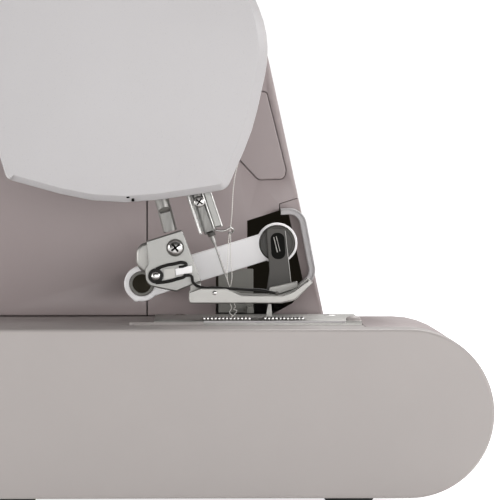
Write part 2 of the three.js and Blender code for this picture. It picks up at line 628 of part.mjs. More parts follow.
const FOOT_X = [-132, -108];
const FOOT_SIDE = [
  [-5.1, 84.7], [-3.8, 86], [-3.8, 89], [-9, 90.8], [-19.7, 90.7], [-26.5, 87.8], [-44, 87.8], [-47.9, 89],
  [-55.1, 94.3], [-56.8, 93.5], [-49.1, 86.1], [-42.9, 84.7],
];
const SOLE = [
  [-5, 84.7], [-5, 86.4], [-42.3, 86.4], [-47.6, 87.6], [-55.6, 94.2], [-56.8, 93.5], [-49.1, 86.1],
  [-42.9, 84.7],
];
const FOOT_SIDE_WIDTH = 2.4;
const EDGE_GUIDE = [[-37.6, 88], [-37.6, 91.2], [-50.3, 94], [-50.5, 90]];
const presserFoot = join(
  prismX(outline([...FOOT_SIDE].reverse()), FOOT_X[0], FOOT_X[0] + FOOT_SIDE_WIDTH),
  prismX(outline([...FOOT_SIDE].reverse()), FOOT_X[1] - FOOT_SIDE_WIDTH, FOOT_X[1]),
  prismX(outline([...SOLE].reverse()), FOOT_X[0], FOOT_X[1]),
  prismX(outline(EDGE_GUIDE), FOOT_X[1] - FOOT_SIDE_WIDTH, FOOT_X[1] + 0.4),
  box(-123, -117, -8.4, -4, 86, 92.6),
).subtract(box(-125, -115, -31, -17.5, 80, 95));
add('presser_foot', presserFoot, steel);

add('presser_lifter_lever', join(
  rodX(7, LEVER.x0, LEVER.x1, LEVER.y, LEVER.z),
  prismX(outline([[60, 156, 0], [104, 141, 3], [106, 148, 3], [62, 165, 0]]), LEVER.x0, LEVER.x1),
), white);

// ---- knives ---------------------------------------------------------------------------------------
const armAngle = Math.atan2(KNIFE_HEAD.z - KNIFE_PIVOT.z, KNIFE_PIVOT.y - KNIFE_HEAD.y);
const armLength = Math.hypot(KNIFE_HEAD.z - KNIFE_PIVOT.z, KNIFE_PIVOT.y - KNIFE_HEAD.y);
function alongArm(distance, across) { // a point in (Y, Z) measured from the pivot towards the knife head
  return [
    KNIFE_PIVOT.y - distance * Math.cos(armAngle) + across * Math.sin(armAngle),
    KNIFE_PIVOT.z + distance * Math.sin(armAngle) + across * Math.cos(armAngle),
  ];
}
const KNOB_RADIUS = 7.55;
const ARM_HALF_WIDTH = 5.8;
const knifeArm = join(
  prismX(circle(7.6, KNIFE_PIVOT.y, KNIFE_PIVOT.z), ...KNIFE_ARM_X, 0, 10),
  prismX(circle(8.8, KNIFE_HEAD.y, KNIFE_HEAD.z), ...KNIFE_ARM_X, 0, 12),
  prismX(outline([
    alongArm(0, ARM_HALF_WIDTH), alongArm(armLength, ARM_HALF_WIDTH),
    alongArm(armLength, -ARM_HALF_WIDTH), alongArm(0, -7.5),
  ]), ...KNIFE_ARM_X),
  prismX(outline([
    [18.6, 84.4, 1.5], [23, 88, 2], [20, 96, 0], [-2, 96, 0], [-4.8, 91.1, 0],
  ]), ...KNIFE_ARM_X),
).subtract(rodX(KNIFE_SHAFT_RADIUS + GAP, -110, -95, KNIFE_PIVOT.y, KNIFE_PIVOT.z))
  .subtract(rodX(KNOB_RADIUS + GAP, -110, -95, KNIFE_HEAD.y, KNIFE_HEAD.z, 28));
add('upper_knife_arm', knifeArm, white);
const SHAFT_END_X = -104.9; // the knife shaft and the knob end together
add('knife_shaft', rodX(KNIFE_SHAFT_RADIUS, SHAFT_END_X, -50, KNIFE_PIVOT.y, KNIFE_PIVOT.z)
  .subtract(rodX(KNIFE_SHAFT_BORE, SHAFT_END_X - 1, -92, KNIFE_PIVOT.y, KNIFE_PIVOT.z)), castGrey);
const knobSlot = box(-106, -103, KNIFE_HEAD.y - 1.2, KNIFE_HEAD.y + 1.2, KNIFE_HEAD.z - 5, KNIFE_HEAD.z + 5);
add('knife_knob', rodX(KNOB_RADIUS, SHAFT_END_X, -97.6, KNIFE_HEAD.y, KNIFE_HEAD.z, 28)
  .subtract(knobSlot), darkSteel);
add('upper_knife', prismX(outline([
  [-38, 115.8, 1], [-39.1, 98.3], [-37.6, 90], [-37.2, 80], [-46.5, 82], [-47.9, 93.6], [-45.4, 115.6, 1],
]), -107.2, -105.2), darkSteel);
add('lower_knife', join(
  box(-69, -66, -32.5, -17, PLATE_TOP + GAP, 97.6),
  box(-104, -66, -32.5, -29.6, PLATE_TOP + GAP, 81.2),
), castGrey);

// ---- loopers --------------------------------------------------------------------------------------
const LOOPER_HUB = { x: -95, z: 42 };
function looper(path, y0, y1) {
  const hub = new THREE.Shape();
  hub.absarc(LOOPER_HUB.x, LOOPER_HUB.z, 6, 0, 2 * Math.PI, false);
  return join(prismY(hub, y0, y1), prismY(outline(path), y0, y1));
}
add('lower_looper', looper([
  [-99, 40], [-95, 47], [-106, 60], [-113, 66, 4], [-133, 69.6], [-133, 68.6], [-116, 62, 6], [-110, 56],
], -34.6, -31.2), steel);
add('upper_looper', looper([
  [-99.5, 43], [-90.5, 43], [-88, 60, 8], [-95, 68.6, 4], [-106, 71], [-106, 70], [-97.5, 65, 3],
  [-94, 58, 4],
], -47, -43), steel);

// ---- cast frame, main shaft, motor, belt -------------------------------------------------------------
const CAST_PLATE_Z = [20, 26]; // the flat casting in the bed
function tiltedBore(radius, group, y) {
  const bore = new THREE.CylinderGeometry(radius, radius, 240, 24);
  bore.rotateX(Math.PI / 2);
  bore.translate(0, y, 0);
  group.updateMatrixWorld();
  bore.applyMatrix4(group.matrixWorld);
  return toSolid(bore);
}
const castFrame = cut(
  join(
    box(-140, 136, -50, 58, ...CAST_PLATE_Z),
    box(-44, -36, -8, 84, CAST_PLATE_Z[1], 228), // left pillar
    box(128, 136, 0, 84, CAST_PLATE_Z[1], 225), // right pillar
    box(-113, -43, 6, 40, 160, 184), // arm that reaches into the head
    box(-126, -112, -16, 40, 150, 190), // block that guides the two bars
  ),
  tiltedBore(NEEDLE_BAR.radius + 0.4, needleGroup, NEEDLE_BAR.y),
  tiltedBore(PRESSER_ROD.radius + 0.4, presserGroup, 0),
  rodX(MAIN_SHAFT_RADIUS + GAP, -60, BED_RIGHT, SHAFT.y, SHAFT.z, 24),
);
add('cast_frame', castFrame, castGrey);

add('main_shaft', join(
  rodX(MAIN_SHAFT_RADIUS, -48, BED_RIGHT + 1.5, SHAFT.y, SHAFT.z, 24),
  rodX(SHAFT_PULLEY_RADIUS, PULLEY_X[0] + 0.5, PULLEY_X[1] - 0.5, SHAFT.y, SHAFT.z, 30),
), steel);

const HANDWHEEL = { x: 161, width: 18, radius: 38, dishRadius: 24, hubRadius: 9 };
const handwheel = ribbedWheel(HANDWHEEL.radius, HANDWHEEL.width, 20)
  .subtract(rodX(HANDWHEEL.dishRadius, 4, HANDWHEEL.width, 0, 0, 24))
  .add(rodX(HANDWHEEL.hubRadius, 0, 7, 0, 0, 20));
add('handwheel', handwheel.translate([HANDWHEEL.x, SHAFT.y, SHAFT.z]), taupe);

const MOTOR_RADIUS = 30;
const MOTOR_BOSS_RADIUS = 11;
add('motor', join(
  rodX(MOTOR_RADIUS, 48, 124, MOTOR.y, MOTOR.z, 28),
  rodX(MOTOR_BOSS_RADIUS, 45, 127.7, MOTOR.y, MOTOR.z),
), castGrey);
add('motor_pulley', join(
  rodX(MOTOR_PULLEY_RADIUS, PULLEY_X[0], PULLEY_X[1], MOTOR.y, MOTOR.z),
  rodX(4, PULLEY_X[1] - 0.5, 44.7, MOTOR.y, MOTOR.z, 12),
), steel);

// The belt's outline: two arcs and the straight runs that touch both.
function beltOutline(margin) {
  const wide = SHAFT_PULLEY_RADIUS + margin;
  const narrow = MOTOR_PULLEY_RADIUS + margin;
  const along = Math.atan2(MOTOR.z - SHAFT.z, MOTOR.y - SHAFT.y);
  const spread = Math.acos((wide - narrow) / Math.hypot(MOTOR.y - SHAFT.y, MOTOR.z - SHAFT.z));
  const shape = new THREE.Shape();
  shape.absarc(MOTOR.y, MOTOR.z, narrow, along - spread, along + spread, false);
  shape.absarc(SHAFT.y, SHAFT.z, wide, along + spread, along - spread + 2 * Math.PI, false);
  shape.closePath();
  return shape;
}
const BELT = { inner: 0.35, outer: 2.2 }; // how far the belt's two faces lie off the pulleys
const belt = prismX(beltOutline(BELT.outer), PULLEY_X[0] + 1, PULLEY_X[1] - 1, 0, 12)
  .subtract(prismX(beltOutline(BELT.inner), PULLEY_X[0] - 1, PULLEY_X[1] + 1, 0, 12));
add('drive_belt', belt, rubber);

// ---- side dials, switch, inlet ------------------------------------------------------------------------
const SIDE_DIAL_RADIUS = 15;
const SIDE_DIALS = { stitch_length_dial: -8, differential_feed_dial: 40 };
Object.entries(SIDE_DIALS).forEach(([name, y]) => {
  const dial = join(
    ribbedWheel(SIDE_DIAL_RADIUS, 8, 16),
    box(2, 6.6, -2, 2, -12, 12),
  );
  add(name, dial.translate([BED_RIGHT + 4 + GAP, y, 214]), white);
});
const rocker = prismY(outline([[-4.5, -9.5], [0.6, -9.5, 0.5], [3.2, 9.5, 0.5], [-4.5, 9.5]]), -6.4, 6.4);
add('power_switch', rocker.translate([BED_RIGHT - 0.6, SWITCH.y, SWITCH.z]), black);
function inletBox(x0, x1, wall) {
  return box(x0, x1, INLET.y0 + wall, INLET.y1 - wall, INLET.z0 + wall, INLET.z1 - wall);
}
const inlet = inletBox(BED_RIGHT - 12, BED_RIGHT + 0.6, 0)
  .subtract(inletBox(BED_RIGHT - 9, BED_RIGHT + 2, 4));
add('power_inlet', inlet, black);

// ---- carry handle -------------------------------------------------------------------------------------
const HANDLE_BAR = 7; // width of the arms
const HANDLE_HALF_HEIGHT = 3.8;
const HANDLE_GRIP = 14; // depth of the crossbar
const armGap = LUG_SPREAD + LUG_HALF + GAP;
function handleArm(side) {
  const inner = side * armGap;
  const outer = side * (armGap + HANDLE_BAR);
  const pinEnds = [side * (LUG_SPREAD - 2.5), side * (armGap + 1)];
  const [x0, x1] = [Math.min(inner, outer), Math.max(inner, outer)];
  const arm = box(x0, x1, HANDLE.pivotY - 4, HANDLE.backY, -HANDLE_HALF_HEIGHT, HANDLE_HALF_HEIGHT);
  return arm.add(rodX(HANDLE_PIN_RADIUS, Math.min(...pinEnds), Math.max(...pinEnds), HANDLE.pivotY, 0));
}
const gripHalf = armGap + HANDLE_BAR;
const gripFront = HANDLE.backY - HANDLE_GRIP;
const carryHandle = join(
  handleArm(-1),
  handleArm(1),
  box(-gripHalf, gripHalf, gripFront, HANDLE.backY, -HANDLE_HALF_HEIGHT, HANDLE_HALF_HEIGHT),
).translate([HANDLE.x, 0, HANDLE.z]);
add('carry_handle', carryHandle, taupe);

// ---- thread stand -------------------------------------------------------------------------------------
const TRAY_X = [-111, 149];
const trayFloor = outline([
  [BODY_BACK_Y + GAP, TRAY_Z[0]], [TRAY_BACK_Y, TRAY_Z[0], 2], [TRAY_BACK_Y, TRAY_Z[1] + 5, 1],
  [TRAY_BACK_Y - 3, TRAY_Z[1] + 5, 1], [TRAY_BACK_Y - 3, TRAY_Z[1]], [BODY_BACK_Y + GAP, TRAY_Z[1]],
]);
const tray = join(
  prismX(trayFloor, ...TRAY_X),
  box(-50, TRAY_X[1] - 6, BODY_BACK_Y + GAP, BODY_BACK_Y + 3.3, 132, TRAY_Z[0] + 1),
  ...[-40, 46, 132].map((x) => prismX(outline([
    [BODY_BACK_Y + 2, 134], [BODY_BACK_Y + 46, TRAY_Z[0] + 1], [BODY_BACK_Y + 2, TRAY_Z[0] + 1],
  ]), x - 2, x + 2)),
);
add('spool_tray', tray, taupe);
SPOOL_X.forEach((x, i) => {
  const pin = turned([[0, 0], [24, 0], [24, 2], [10, 3], [7, 24], [3, 27], [2.6, 84], [0, 86]]);
  add(`spool_pin_${i + 1}`, pin.translate([x, SPOOL_Y, TRAY_Z[1] + GAP]), white);
});
const TUBE = { outer: 4.2, bore: 2.9, inner: 2.5, top: 256, floor: 167 };
add('mast_outer_tube', join(
  rodZ(TUBE.outer, MAST.x, MAST.y, TRAY_Z[1] + GAP, TUBE.top),
  rodZ(9, MAST.x, MAST.y, TRAY_Z[1] + GAP, TRAY_Z[1] + 12),
).subtract(rodZ(TUBE.bore, MAST.x, MAST.y, TUBE.floor, FAR)), steel);
const GUIDE_HALF = 112;
const GUIDE_THICKNESS = 4;
const guideLow = MAST_TOP - GUIDE_THICKNESS;
const guideBar = box(-GUIDE_HALF, GUIDE_HALF, -3, 3, guideLow, MAST_TOP);
const eyelets = SPOOL_X.map((x) => rodZ(7, x - MAST.x, 5, guideLow, MAST_TOP, 14));
const eyeHoles = SPOOL_X.map((x) => rodZ(3.2, x - MAST.x, 6.5, guideLow - 1, MAST_TOP + 1, 12));
const mastInner = cut(join(guideBar, ...eyelets), ...eyeHoles)
  .translate([MAST.x, MAST.y, 0])
  .add(rodZ(TUBE.inner, MAST.x, MAST.y, TUBE.floor + WALL, MAST_TOP - 1));
add('mast_inner_tube', mastInner, steel);

// ---- set the frame: the origin is under the middle of the whole machine --------------------------------
machine.position.y = (BED_DEPTH / 2 - TRAY_BACK_Y) / 2;

export default machine;
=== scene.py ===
import json
from math import atan2, cos, pi, radians, sin, tan

import bmesh
import bpy
from mathutils import Matrix, Vector


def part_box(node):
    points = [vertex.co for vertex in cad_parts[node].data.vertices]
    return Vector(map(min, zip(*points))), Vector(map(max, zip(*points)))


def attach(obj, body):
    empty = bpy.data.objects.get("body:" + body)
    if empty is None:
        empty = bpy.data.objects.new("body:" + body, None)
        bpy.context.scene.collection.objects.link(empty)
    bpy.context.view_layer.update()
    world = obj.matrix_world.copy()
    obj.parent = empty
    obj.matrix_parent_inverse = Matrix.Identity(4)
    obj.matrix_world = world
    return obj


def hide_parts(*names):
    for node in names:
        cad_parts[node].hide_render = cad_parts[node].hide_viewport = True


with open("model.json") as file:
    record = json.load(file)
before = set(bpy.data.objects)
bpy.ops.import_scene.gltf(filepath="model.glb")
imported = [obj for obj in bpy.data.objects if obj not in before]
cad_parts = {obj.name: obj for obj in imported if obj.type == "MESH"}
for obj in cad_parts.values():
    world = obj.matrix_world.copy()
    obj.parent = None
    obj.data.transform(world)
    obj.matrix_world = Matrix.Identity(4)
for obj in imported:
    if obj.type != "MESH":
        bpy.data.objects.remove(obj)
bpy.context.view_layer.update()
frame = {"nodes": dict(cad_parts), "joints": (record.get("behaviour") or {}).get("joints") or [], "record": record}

# ---- the frame: lengths in mm from the middle of the bed's depth, turned into metres of the row frame ----
MM = 0.001
JOINTS = {joint["name"]: joint for joint in frame["joints"]}
bed_low, bed_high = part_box("bed_end_cover")
BED_MID_Y = (bed_low.y + bed_high.y) / 2
ROW = Matrix.Translation((0, BED_MID_Y, 0)) @ Matrix.Scale(MM, 4)
SIDE_ON = Matrix(((0, 0, 1), (1, 0, 0), (0, 1, 0))).to_4x4()  # a (Y, Z) outline whose depth runs along X


def span(node):
    """A CAD node's lowest and highest corners in mm from the middle of the bed's depth."""
    low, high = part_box(node)
    back = ROW.inverted()
    return back @ low, back @ high


BED_LOW, BED_HIGH = span("bed_end_cover")
BED_LEFT = BED_LOW.x
CAP_LOW, CAP_HIGH = span("head_end_cap")
PLATE_LOW, PLATE_HIGH = span("needle_plate")


def pivot(joint):
    """A hinge's place in (Y, Z)."""
    point = ROW.inverted() @ Vector(JOINTS[joint]["pos_m"])
    return point.y, point.z


def bar_frame(joint, origin):
    """A frame whose +Z runs up a sliding bar, with its origin on the bar."""
    down = Vector(JOINTS[joint]["axis"])
    tilt = atan2(down.y, -down.z)
    return ROW @ Matrix.Translation(origin) @ Matrix.Rotation(tilt, 4, "X")


NEEDLE_X = -120
NEEDLE_FRAME = bar_frame("needle_bar_slide", (NEEDLE_X, -13.2, 113.6))
PRESSER_FRAME = bar_frame("presser_bar_slide", (NEEDLE_X, 7.7, 128.7))
KNIFE_PIVOT = pivot("knife_arm_hinge")
KNIFE_HEAD = pivot("knife_knob_turn")

def new_object(name, data):
    made = bpy.data.objects.new(name, data)
    bpy.context.scene.collection.objects.link(made)
    return made


# ---- camera, light and floor ----
CAMERA_DISTANCE = 1300
CAMERA_HEIGHT = 143.7
CAMERA_TARGET = (-28.8, 108.7)  # (Y, Z) on the bed's left end
CAMERA_LENS = 227.5
LIGHTS = {  # location, target and size in metres, then watts
    "key": ((-1.75, -0.75, 0.2), (-0.1, 0, 0.14), (2.6, 0.44), 14),
    "top": ((0.5, -0.4, 1.4), (0.1, 0, 0.1), (1.0, 1.2), 18),
    "left_side": ((-0.75, 1.15, 0.25), (-0.12, 0, 0.1), (0.5, 0.4), 5.5),
    "right_side": ((-0.55, -1.3, 0.55), (-0.1, 0, 0.15), (0.5, 0.5), 5.5),
}


def aim(thing, location, target):
    thing.location = location
    thing.rotation_euler = (Vector(target) - Vector(location)).to_track_quat("-Z", "Y").to_euler()


def make_camera():
    data = bpy.data.cameras.new("camera")
    data.lens = CAMERA_LENS
    data.clip_start = 0.05
    data.clip_end = 50
    camera = new_object("camera", data)
    location = ROW @ Vector((BED_LEFT - CAMERA_DISTANCE, 0, CAMERA_HEIGHT))
    aim(camera, location, ROW @ Vector((BED_LEFT, *CAMERA_TARGET)))
    bpy.context.scene.camera = camera


def make_lights():
    for name, (location, target, size, power) in LIGHTS.items():
        data = bpy.data.lights.new(name, "AREA")
        data.shape = "RECTANGLE"
        data.size, data.size_y = size
        data.energy = power
        aim(new_object(name, data), location, target)


NEAR_AMBIENT = 0.08  # the room behind the camera
FAR_AMBIENT = 0.6  # the white sweep at the sides and behind
AMBIENT_SLOPE = -0.35  # how fast the room darkens upwards
BACKDROP = 1.05


def set_inputs(node, values):
    for name, value in values.items():
        node.inputs[name].default_value = value
    return node


def add_node(nodes, kind, values):
    """A new shader node with some of its inputs set."""
    return set_inputs(nodes.new(kind), values)


def make_world():
    """White for the camera, and a room that is darker behind the camera for the object."""
    world = bpy.data.worlds.new("studio")
    bpy.context.scene.world = world
    world.use_nodes = True
    nodes, links = world.node_tree.nodes, world.node_tree.links
    nodes.clear()
    kinds = ("OutputWorld", "MixShader", "LightPath", "TexCoord", "SeparateXYZ", "Math")
    output, mix, rays, direction, split, lower = (nodes.new("ShaderNode" + kind) for kind in kinds)
    lower.operation = "MULTIPLY_ADD"
    lower.inputs[1].default_value = AMBIENT_SLOPE
    fade = add_node(nodes, "ShaderNodeMapRange", {
        "From Min": -0.9, "From Max": 0.2, "To Min": NEAR_AMBIENT, "To Max": FAR_AMBIENT})
    ambient = add_node(nodes, "ShaderNodeBackground", {"Color": (1.0, 0.99, 0.98, 1)})
    backdrop = add_node(nodes, "ShaderNodeBackground", {"Color": (1, 1, 1, 1), "Strength": BACKDROP})
    links.new(direction.outputs["Generated"], split.inputs["Vector"])
    links.new(split.outputs["Z"], lower.inputs[0])
    links.new(split.outputs["X"], lower.inputs[2])
    links.new(lower.outputs["Value"], fade.inputs["Value"])
    links.new(fade.outputs["Result"], ambient.inputs["Strength"])
    links.new(rays.outputs["Is Camera Ray"], mix.inputs["Fac"])
    links.new(ambient.outputs["Background"], mix.inputs[1])
    links.new(backdrop.outputs["Background"], mix.inputs[2])
    links.new(mix.outputs["Shader"], output.inputs["Surface"])


FLOOR_SIZE = 8  # metres
FLOOR_BOUNCE = 0.32  # the light it gives the object
FLOOR_SEEN = 0.8  # the light it gives the camera


def make_floor():
    bpy.ops.mesh.primitive_plane_add(size=FLOOR_SIZE, location=(0, 0, -0.0002))
    floor = bpy.context.object
    floor.name = "floor"
    material, nodes, links, shader = start_material("floor_white")
    set_inputs(shader, {"Base Color": (0.8, 0.8, 0.8, 1), "Roughness": 0.9, "Specular IOR Level": 0.1,
                        "Emission Color": (1, 1, 1, 1)})
    rays = nodes.new("ShaderNodeLightPath")
    glow = add_node(nodes, "ShaderNodeMapRange", {"To Min": FLOOR_BOUNCE, "To Max": FLOOR_SEEN})
    links.new(rays.outputs["Is Camera Ray"], glow.inputs["Value"])
    links.new(glow.outputs["Result"], shader.inputs["Emission Strength"])
    floor.data.materials.append(material)


# ---- materials ----
def start_material(name):
    material = bpy.data.materials.new(name)
    material.use_nodes = True
    shader = material.node_tree.nodes["Principled BSDF"]
    return material, material.node_tree.nodes, material.node_tree.links, shader


def noise(nodes, links, scale, detail=3.0, stretch=(1, 1, 1), turn=(0, 0, 0)):
    mapping = add_node(nodes, "ShaderNodeMapping", {"Scale": stretch, "Rotation": turn})
    texture = add_node(nodes, "ShaderNodeTexNoise", {"Scale": scale, "Detail": detail})
    links.new(nodes.new("ShaderNodeTexCoord").outputs["Object"], mapping.inputs["Vector"])
    links.new(mapping.outputs["Vector"], texture.inputs["Vector"])
    return texture.outputs["Fac"]


def ramp(nodes, links, value, low, high, low_color, high_color):
    stops = nodes.new("ShaderNodeValToRGB")
    for stop, place, color in zip(stops.color_ramp.elements, (low, high), (low_color, high_color)):
        stop.position = place
        stop.color = (*color, 1)
    links.new(value, stops.inputs["Fac"])
    return stops.outputs["Color"]


def spread(nodes, links, value, low, high):
    """A noise value stretched over a range."""
    remap = add_node(nodes, "ShaderNodeMapRange", {
        "From Min": 0.3, "From Max": 0.7, "To Min": low, "To Max": high})
    links.new(value, remap.inputs["Value"])
    return remap.outputs["Result"]


def add_bump(nodes, links, shader, value, strength, distance):
    bump = add_node(nodes, "ShaderNodeBump", {"Strength": strength, "Distance": distance})
    links.new(value, bump.inputs["Height"])
    links.new(bump.outputs["Normal"], shader.inputs["Normal"])


# the colour of the painted glow that stands in for stray light on unlit insides
PAINTED_STRAY_LIGHT = (1, 0.85, 0.6, 1)


def plastic(name, color, roughness, grain=0.12, tint=0.04, shine=0.5, glow=0.0):
    """Moulded plastic: a fine grain, a faint cloudiness and uneven gloss; glow is a painted glow, an emission that
    stands in for stray light.
    """
    material, nodes, links, shader = start_material(name)
    cloud = noise(nodes, links, 9.0, 4.0)
    fine = noise(nodes, links, 1900.0, 2.0)
    darker = tuple(c * (1 - tint) for c in color)
    lighter = tuple(min(c * (1 + tint), 1) for c in color)
    links.new(ramp(nodes, links, cloud, 0.3, 0.7, darker, lighter), shader.inputs["Base Color"])
    links.new(spread(nodes, links, fine, roughness - 0.03, roughness + 0.03), shader.inputs["Roughness"])
    add_bump(nodes, links, shader, fine, grain, 0.0001)
    set_inputs(shader, {
        "Specular IOR Level": shine, "Emission Color": PAINTED_STRAY_LIGHT, "Emission Strength": glow})
    return material


def metal(name, color, roughness, stretch=(1, 1, 1), scale=900.0, grain=0.15, tint=0.12, turn=(0, 0, 0),
          spread_by=0.3):
    """Bare metal, with brush marks along the axis that stretch leaves small."""
    material, nodes, links, shader = start_material(name)
    marks = noise(nodes, links, scale, 3.0, stretch, turn)
    smear = noise(nodes, links, 60.0, 3.0)
    darker = tuple(c * (1 - tint) for c in color)
    links.new(ramp(nodes, links, smear, 0.3, 0.7, darker, color), shader.inputs["Base Color"])
    low, high = roughness * (1 - spread_by), roughness * (1 + spread_by)
    links.new(spread(nodes, links, marks, low, high), shader.inputs["Roughness"])
    add_bump(nodes, links, shader, marks, grain, 0.00005)
    shader.inputs["Metallic"].default_value = 1
    return material


def twisted_thread(name, color):
    """Two-ply thread: fine slanted bands of light and shade."""
    material, nodes, links, shader = start_material(name)
    coordinates = nodes.new("ShaderNodeTexCoord")
    wave = add_node(nodes, "ShaderNodeTexWave", {"Scale": 700, "Distortion": 1.5})
    wave.bands_direction = "DIAGONAL"
    links.new(coordinates.outputs["Object"], wave.inputs["Vector"])
    darker = tuple(c * 0.7 for c in color)
    links.new(ramp(nodes, links, wave.outputs["Fac"], 0.2, 0.7, darker, color), shader.inputs["Base Color"])
    set_inputs(shader, {"Roughness": 0.75, "Sheen Weight": 0.3})
    return material


BAR_TURN = (radians(17), 0, 0)  # the bars' lean, for marks that run along them
LOOKS = {
    "taupe_plastic": plastic("taupe", (0.365, 0.307, 0.304), 0.42),
    "bed_plastic": plastic("bed_grey", (0.395, 0.36, 0.347), 0.4),
    "white_plastic": plastic("light_grey", (0.49, 0.472, 0.477), 0.3, 0.05, 0.02),
    "steel": metal("satin_nickel", (0.43, 0.42, 0.40), 0.44, (1, 0.3, 1), 3200, 0.08, 0.04, spread_by=0.1),
    "chrome": metal("polished_chrome", (0.6, 0.585, 0.57), 0.2, (1, 1, 0.15), 700, 0.05, 0.05),
    "cast_metal": plastic("cast_grey", (0.21, 0.205, 0.185), 0.45, 0.5, 0.15),
    "dark_metal": plastic("dark_oxide", (0.062, 0.056, 0.049), 0.42, 0.2, 0.15),
    "black_wire": plastic("black_wire", (0.011, 0.01, 0.009), 0.4, 0.1, 0.1, shine=0.2),
    "black_plastic": plastic("black_plastic", (0.018, 0.018, 0.018), 0.4, 0.2, 0.1),
    "rubber": plastic("rubber", (0.03, 0.03, 0.03), 0.75, 0.5, 0.2),
    "thread": twisted_thread("thread", (0.86, 0.82, 0.78)),
}
BRUSHED = metal("milled_steel", (0.34, 0.33, 0.315), 0.38, (1, 1, 0.06), 1600, 0.3, 0.15, BAR_TURN)
# a darker copy of the satin nickel: painted shade on the ankle's front plate and the clamp's jaw
ANKLE_NICKEL_SHADED = metal("ankle_nickel_shaded", (0.36, 0.355, 0.34), 0.44, (1, 1, 1), 2800, 0.25, 0.04, spread_by=0.15)
# a darker copy of the milled steel: painted shade on the clamp block and the presser bar's flat
MILLED_SHADE = metal("milled_painted_shade", (0.215, 0.21, 0.2), 0.4, (1, 1, 0.06), 1600, 0.3, 0.2, BAR_TURN)
# a lighter, glossier copy of the milled steel: painted highlight on the clamp's fin and edge strips
BRIGHT_HIGHLIGHT = metal("bright_nickel_painted_highlight", (0.62, 0.61, 0.59), 0.3, (1, 1, 0.1), 1600, 0.1, 0.08, BAR_TURN)
# painted shade with a faint painted glow: near-black for unlit insides of shells and bores
INSIDE_SHADE = plastic("painted_inside_shade", (0.045, 0.04, 0.03), 0.9, 0.2, 0.1, shine=0.1, glow=0.007)
# partly the arm's own whiter colour, partly painted light: raised to make up for the shade the knife arm sits in
ARM_WHITE_LIT = plastic("arm_white_painted_light", (0.95, 0.93, 0.935), 0.35, 0.05, 0.02)
# painted shade: near-black put into recesses, cross slots, vents and gaps where shade falls
CREVICE_SHADE = plastic("crevice_painted_shade", (0.008, 0.008, 0.007), 0.8, 0.2, 0.1, shine=0.1)


# ---- CAD nodes that stay ----
SMOOTH_ANGLE = radians(32)
EDGE_WIDTHS = {  # rounding of moulded edges, in mm
    "base_housing": 0.5, "looper_cover": 1.1, "front_cover": 1.1, "rear_cover": 0.8,
    "front_fascia": 0.5, "head_shell": 0.4, "carry_handle": 1.2, "spool_tray": 0.7,
    "presser_lifter_lever": 0.8, "needle_plate": 0.25, "cast_frame": 0.8,
    "power_inlet": 0.4, "power_switch": 0.5, "bottom_plate": 0.3,
}
BODY_MIDDLE = (Vector(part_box("front_cover")[0]) + Vector(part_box("rear_cover")[1])) / 2
BODY_FRONT = {"foot": -64.4, "lean": tan(radians(12.2)), "wall": 1.5}


def is_inside(point):
    """True for a point behind the upper body's outer skin, in mm."""
    behind_side = point.x > span("front_cover")[0].x + BODY_FRONT["wall"]
    front = BODY_FRONT["foot"] + (point.z - BED_HIGH.z) * BODY_FRONT["lean"] + BODY_FRONT["wall"]
    return behind_side and point.y > front


def dress_cad_nodes():
    slots = {row["node"]: row["material_slot"] for row in frame["record"]["subparts"]}
    for name, node in frame["nodes"].items():
        node.data.materials.clear()
        node.data.materials.append(LOOKS[slots[name]])
        for face in node.data.polygons:
            face.use_smooth = True
        weld = node.modifiers.new("weld", "WELD")
        weld.merge_threshold = 1e-6
        bevel = node.modifiers.new("edges", "BEVEL")
        bevel.width = EDGE_WIDTHS.get(name, 0.2) * MM
        bevel.segments = 2
        bevel.limit_method = "ANGLE"
        bevel.angle_limit = SMOOTH_ANGLE
        bevel.harden_normals = True
    for name in ("looper_cover", "front_cover"):
        darken_inside(frame["nodes"][name])


def darken_inside(node):
    """Painted shade on a moulded shell's inner faces: a near-black material where the inside lies unlit."""
    node.data.materials.append(INSIDE_SHADE)
    back = ROW.inverted()
    for face in node.data.polygons:
        inward = face.normal.dot(BODY_MIDDLE - face.center) > 0
        if inward and is_inside(back @ face.center):
            face.material_index = 1


# ---- shapes ----
ARC_STEP = radians(7.5)


def rounded(corners):
    """A closed outline from (a, b, radius) corners, with a true arc at each corner that has a radius."""
    points = []
    for i, (a, b, *rest) in enumerate(corners):
        radius = rest[0] if rest else 0
        corner = Vector((a, b))
        if radius == 0:
            points.append(corner)
            continue
        before = (Vector(corners[i - 1][:2]) - corner).normalized()
        after = (Vector(corners[(i + 1) % len(corners)][:2]) - corner).normalized()
        half = before.angle(after) / 2
        centre = corner + (before + after).normalized() * radius / sin(half)
        start = corner + before * radius / tan(half) - centre
        end = corner + after * radius / tan(half) - centre
        sweep = start.angle_signed(end)
        steps = max(2, round(abs(sweep) / ARC_STEP))
        for k in range(steps + 1):
            points.append(centre + Matrix.Rotation(-sweep * k / steps, 2) @ start)
    return points


def circle(a, b, radius, steps=48):
    angles = [2 * pi * i / steps for i in range(steps)]
    return [Vector((a + radius * cos(t), b + radius * sin(t))) for t in angles]


def area_of(points):
    return sum(p.x * q.y - q.x * p.y for p, q in zip(points, points[1:] + points[:1])) / 2


def outward_at(outline, i):
    """The direction straight out of a closed outline at one of its points."""
    along = (outline[(i + 1) % len(outline)] - outline[i - 1]).normalized()
    return Vector((along.y, -along.x))


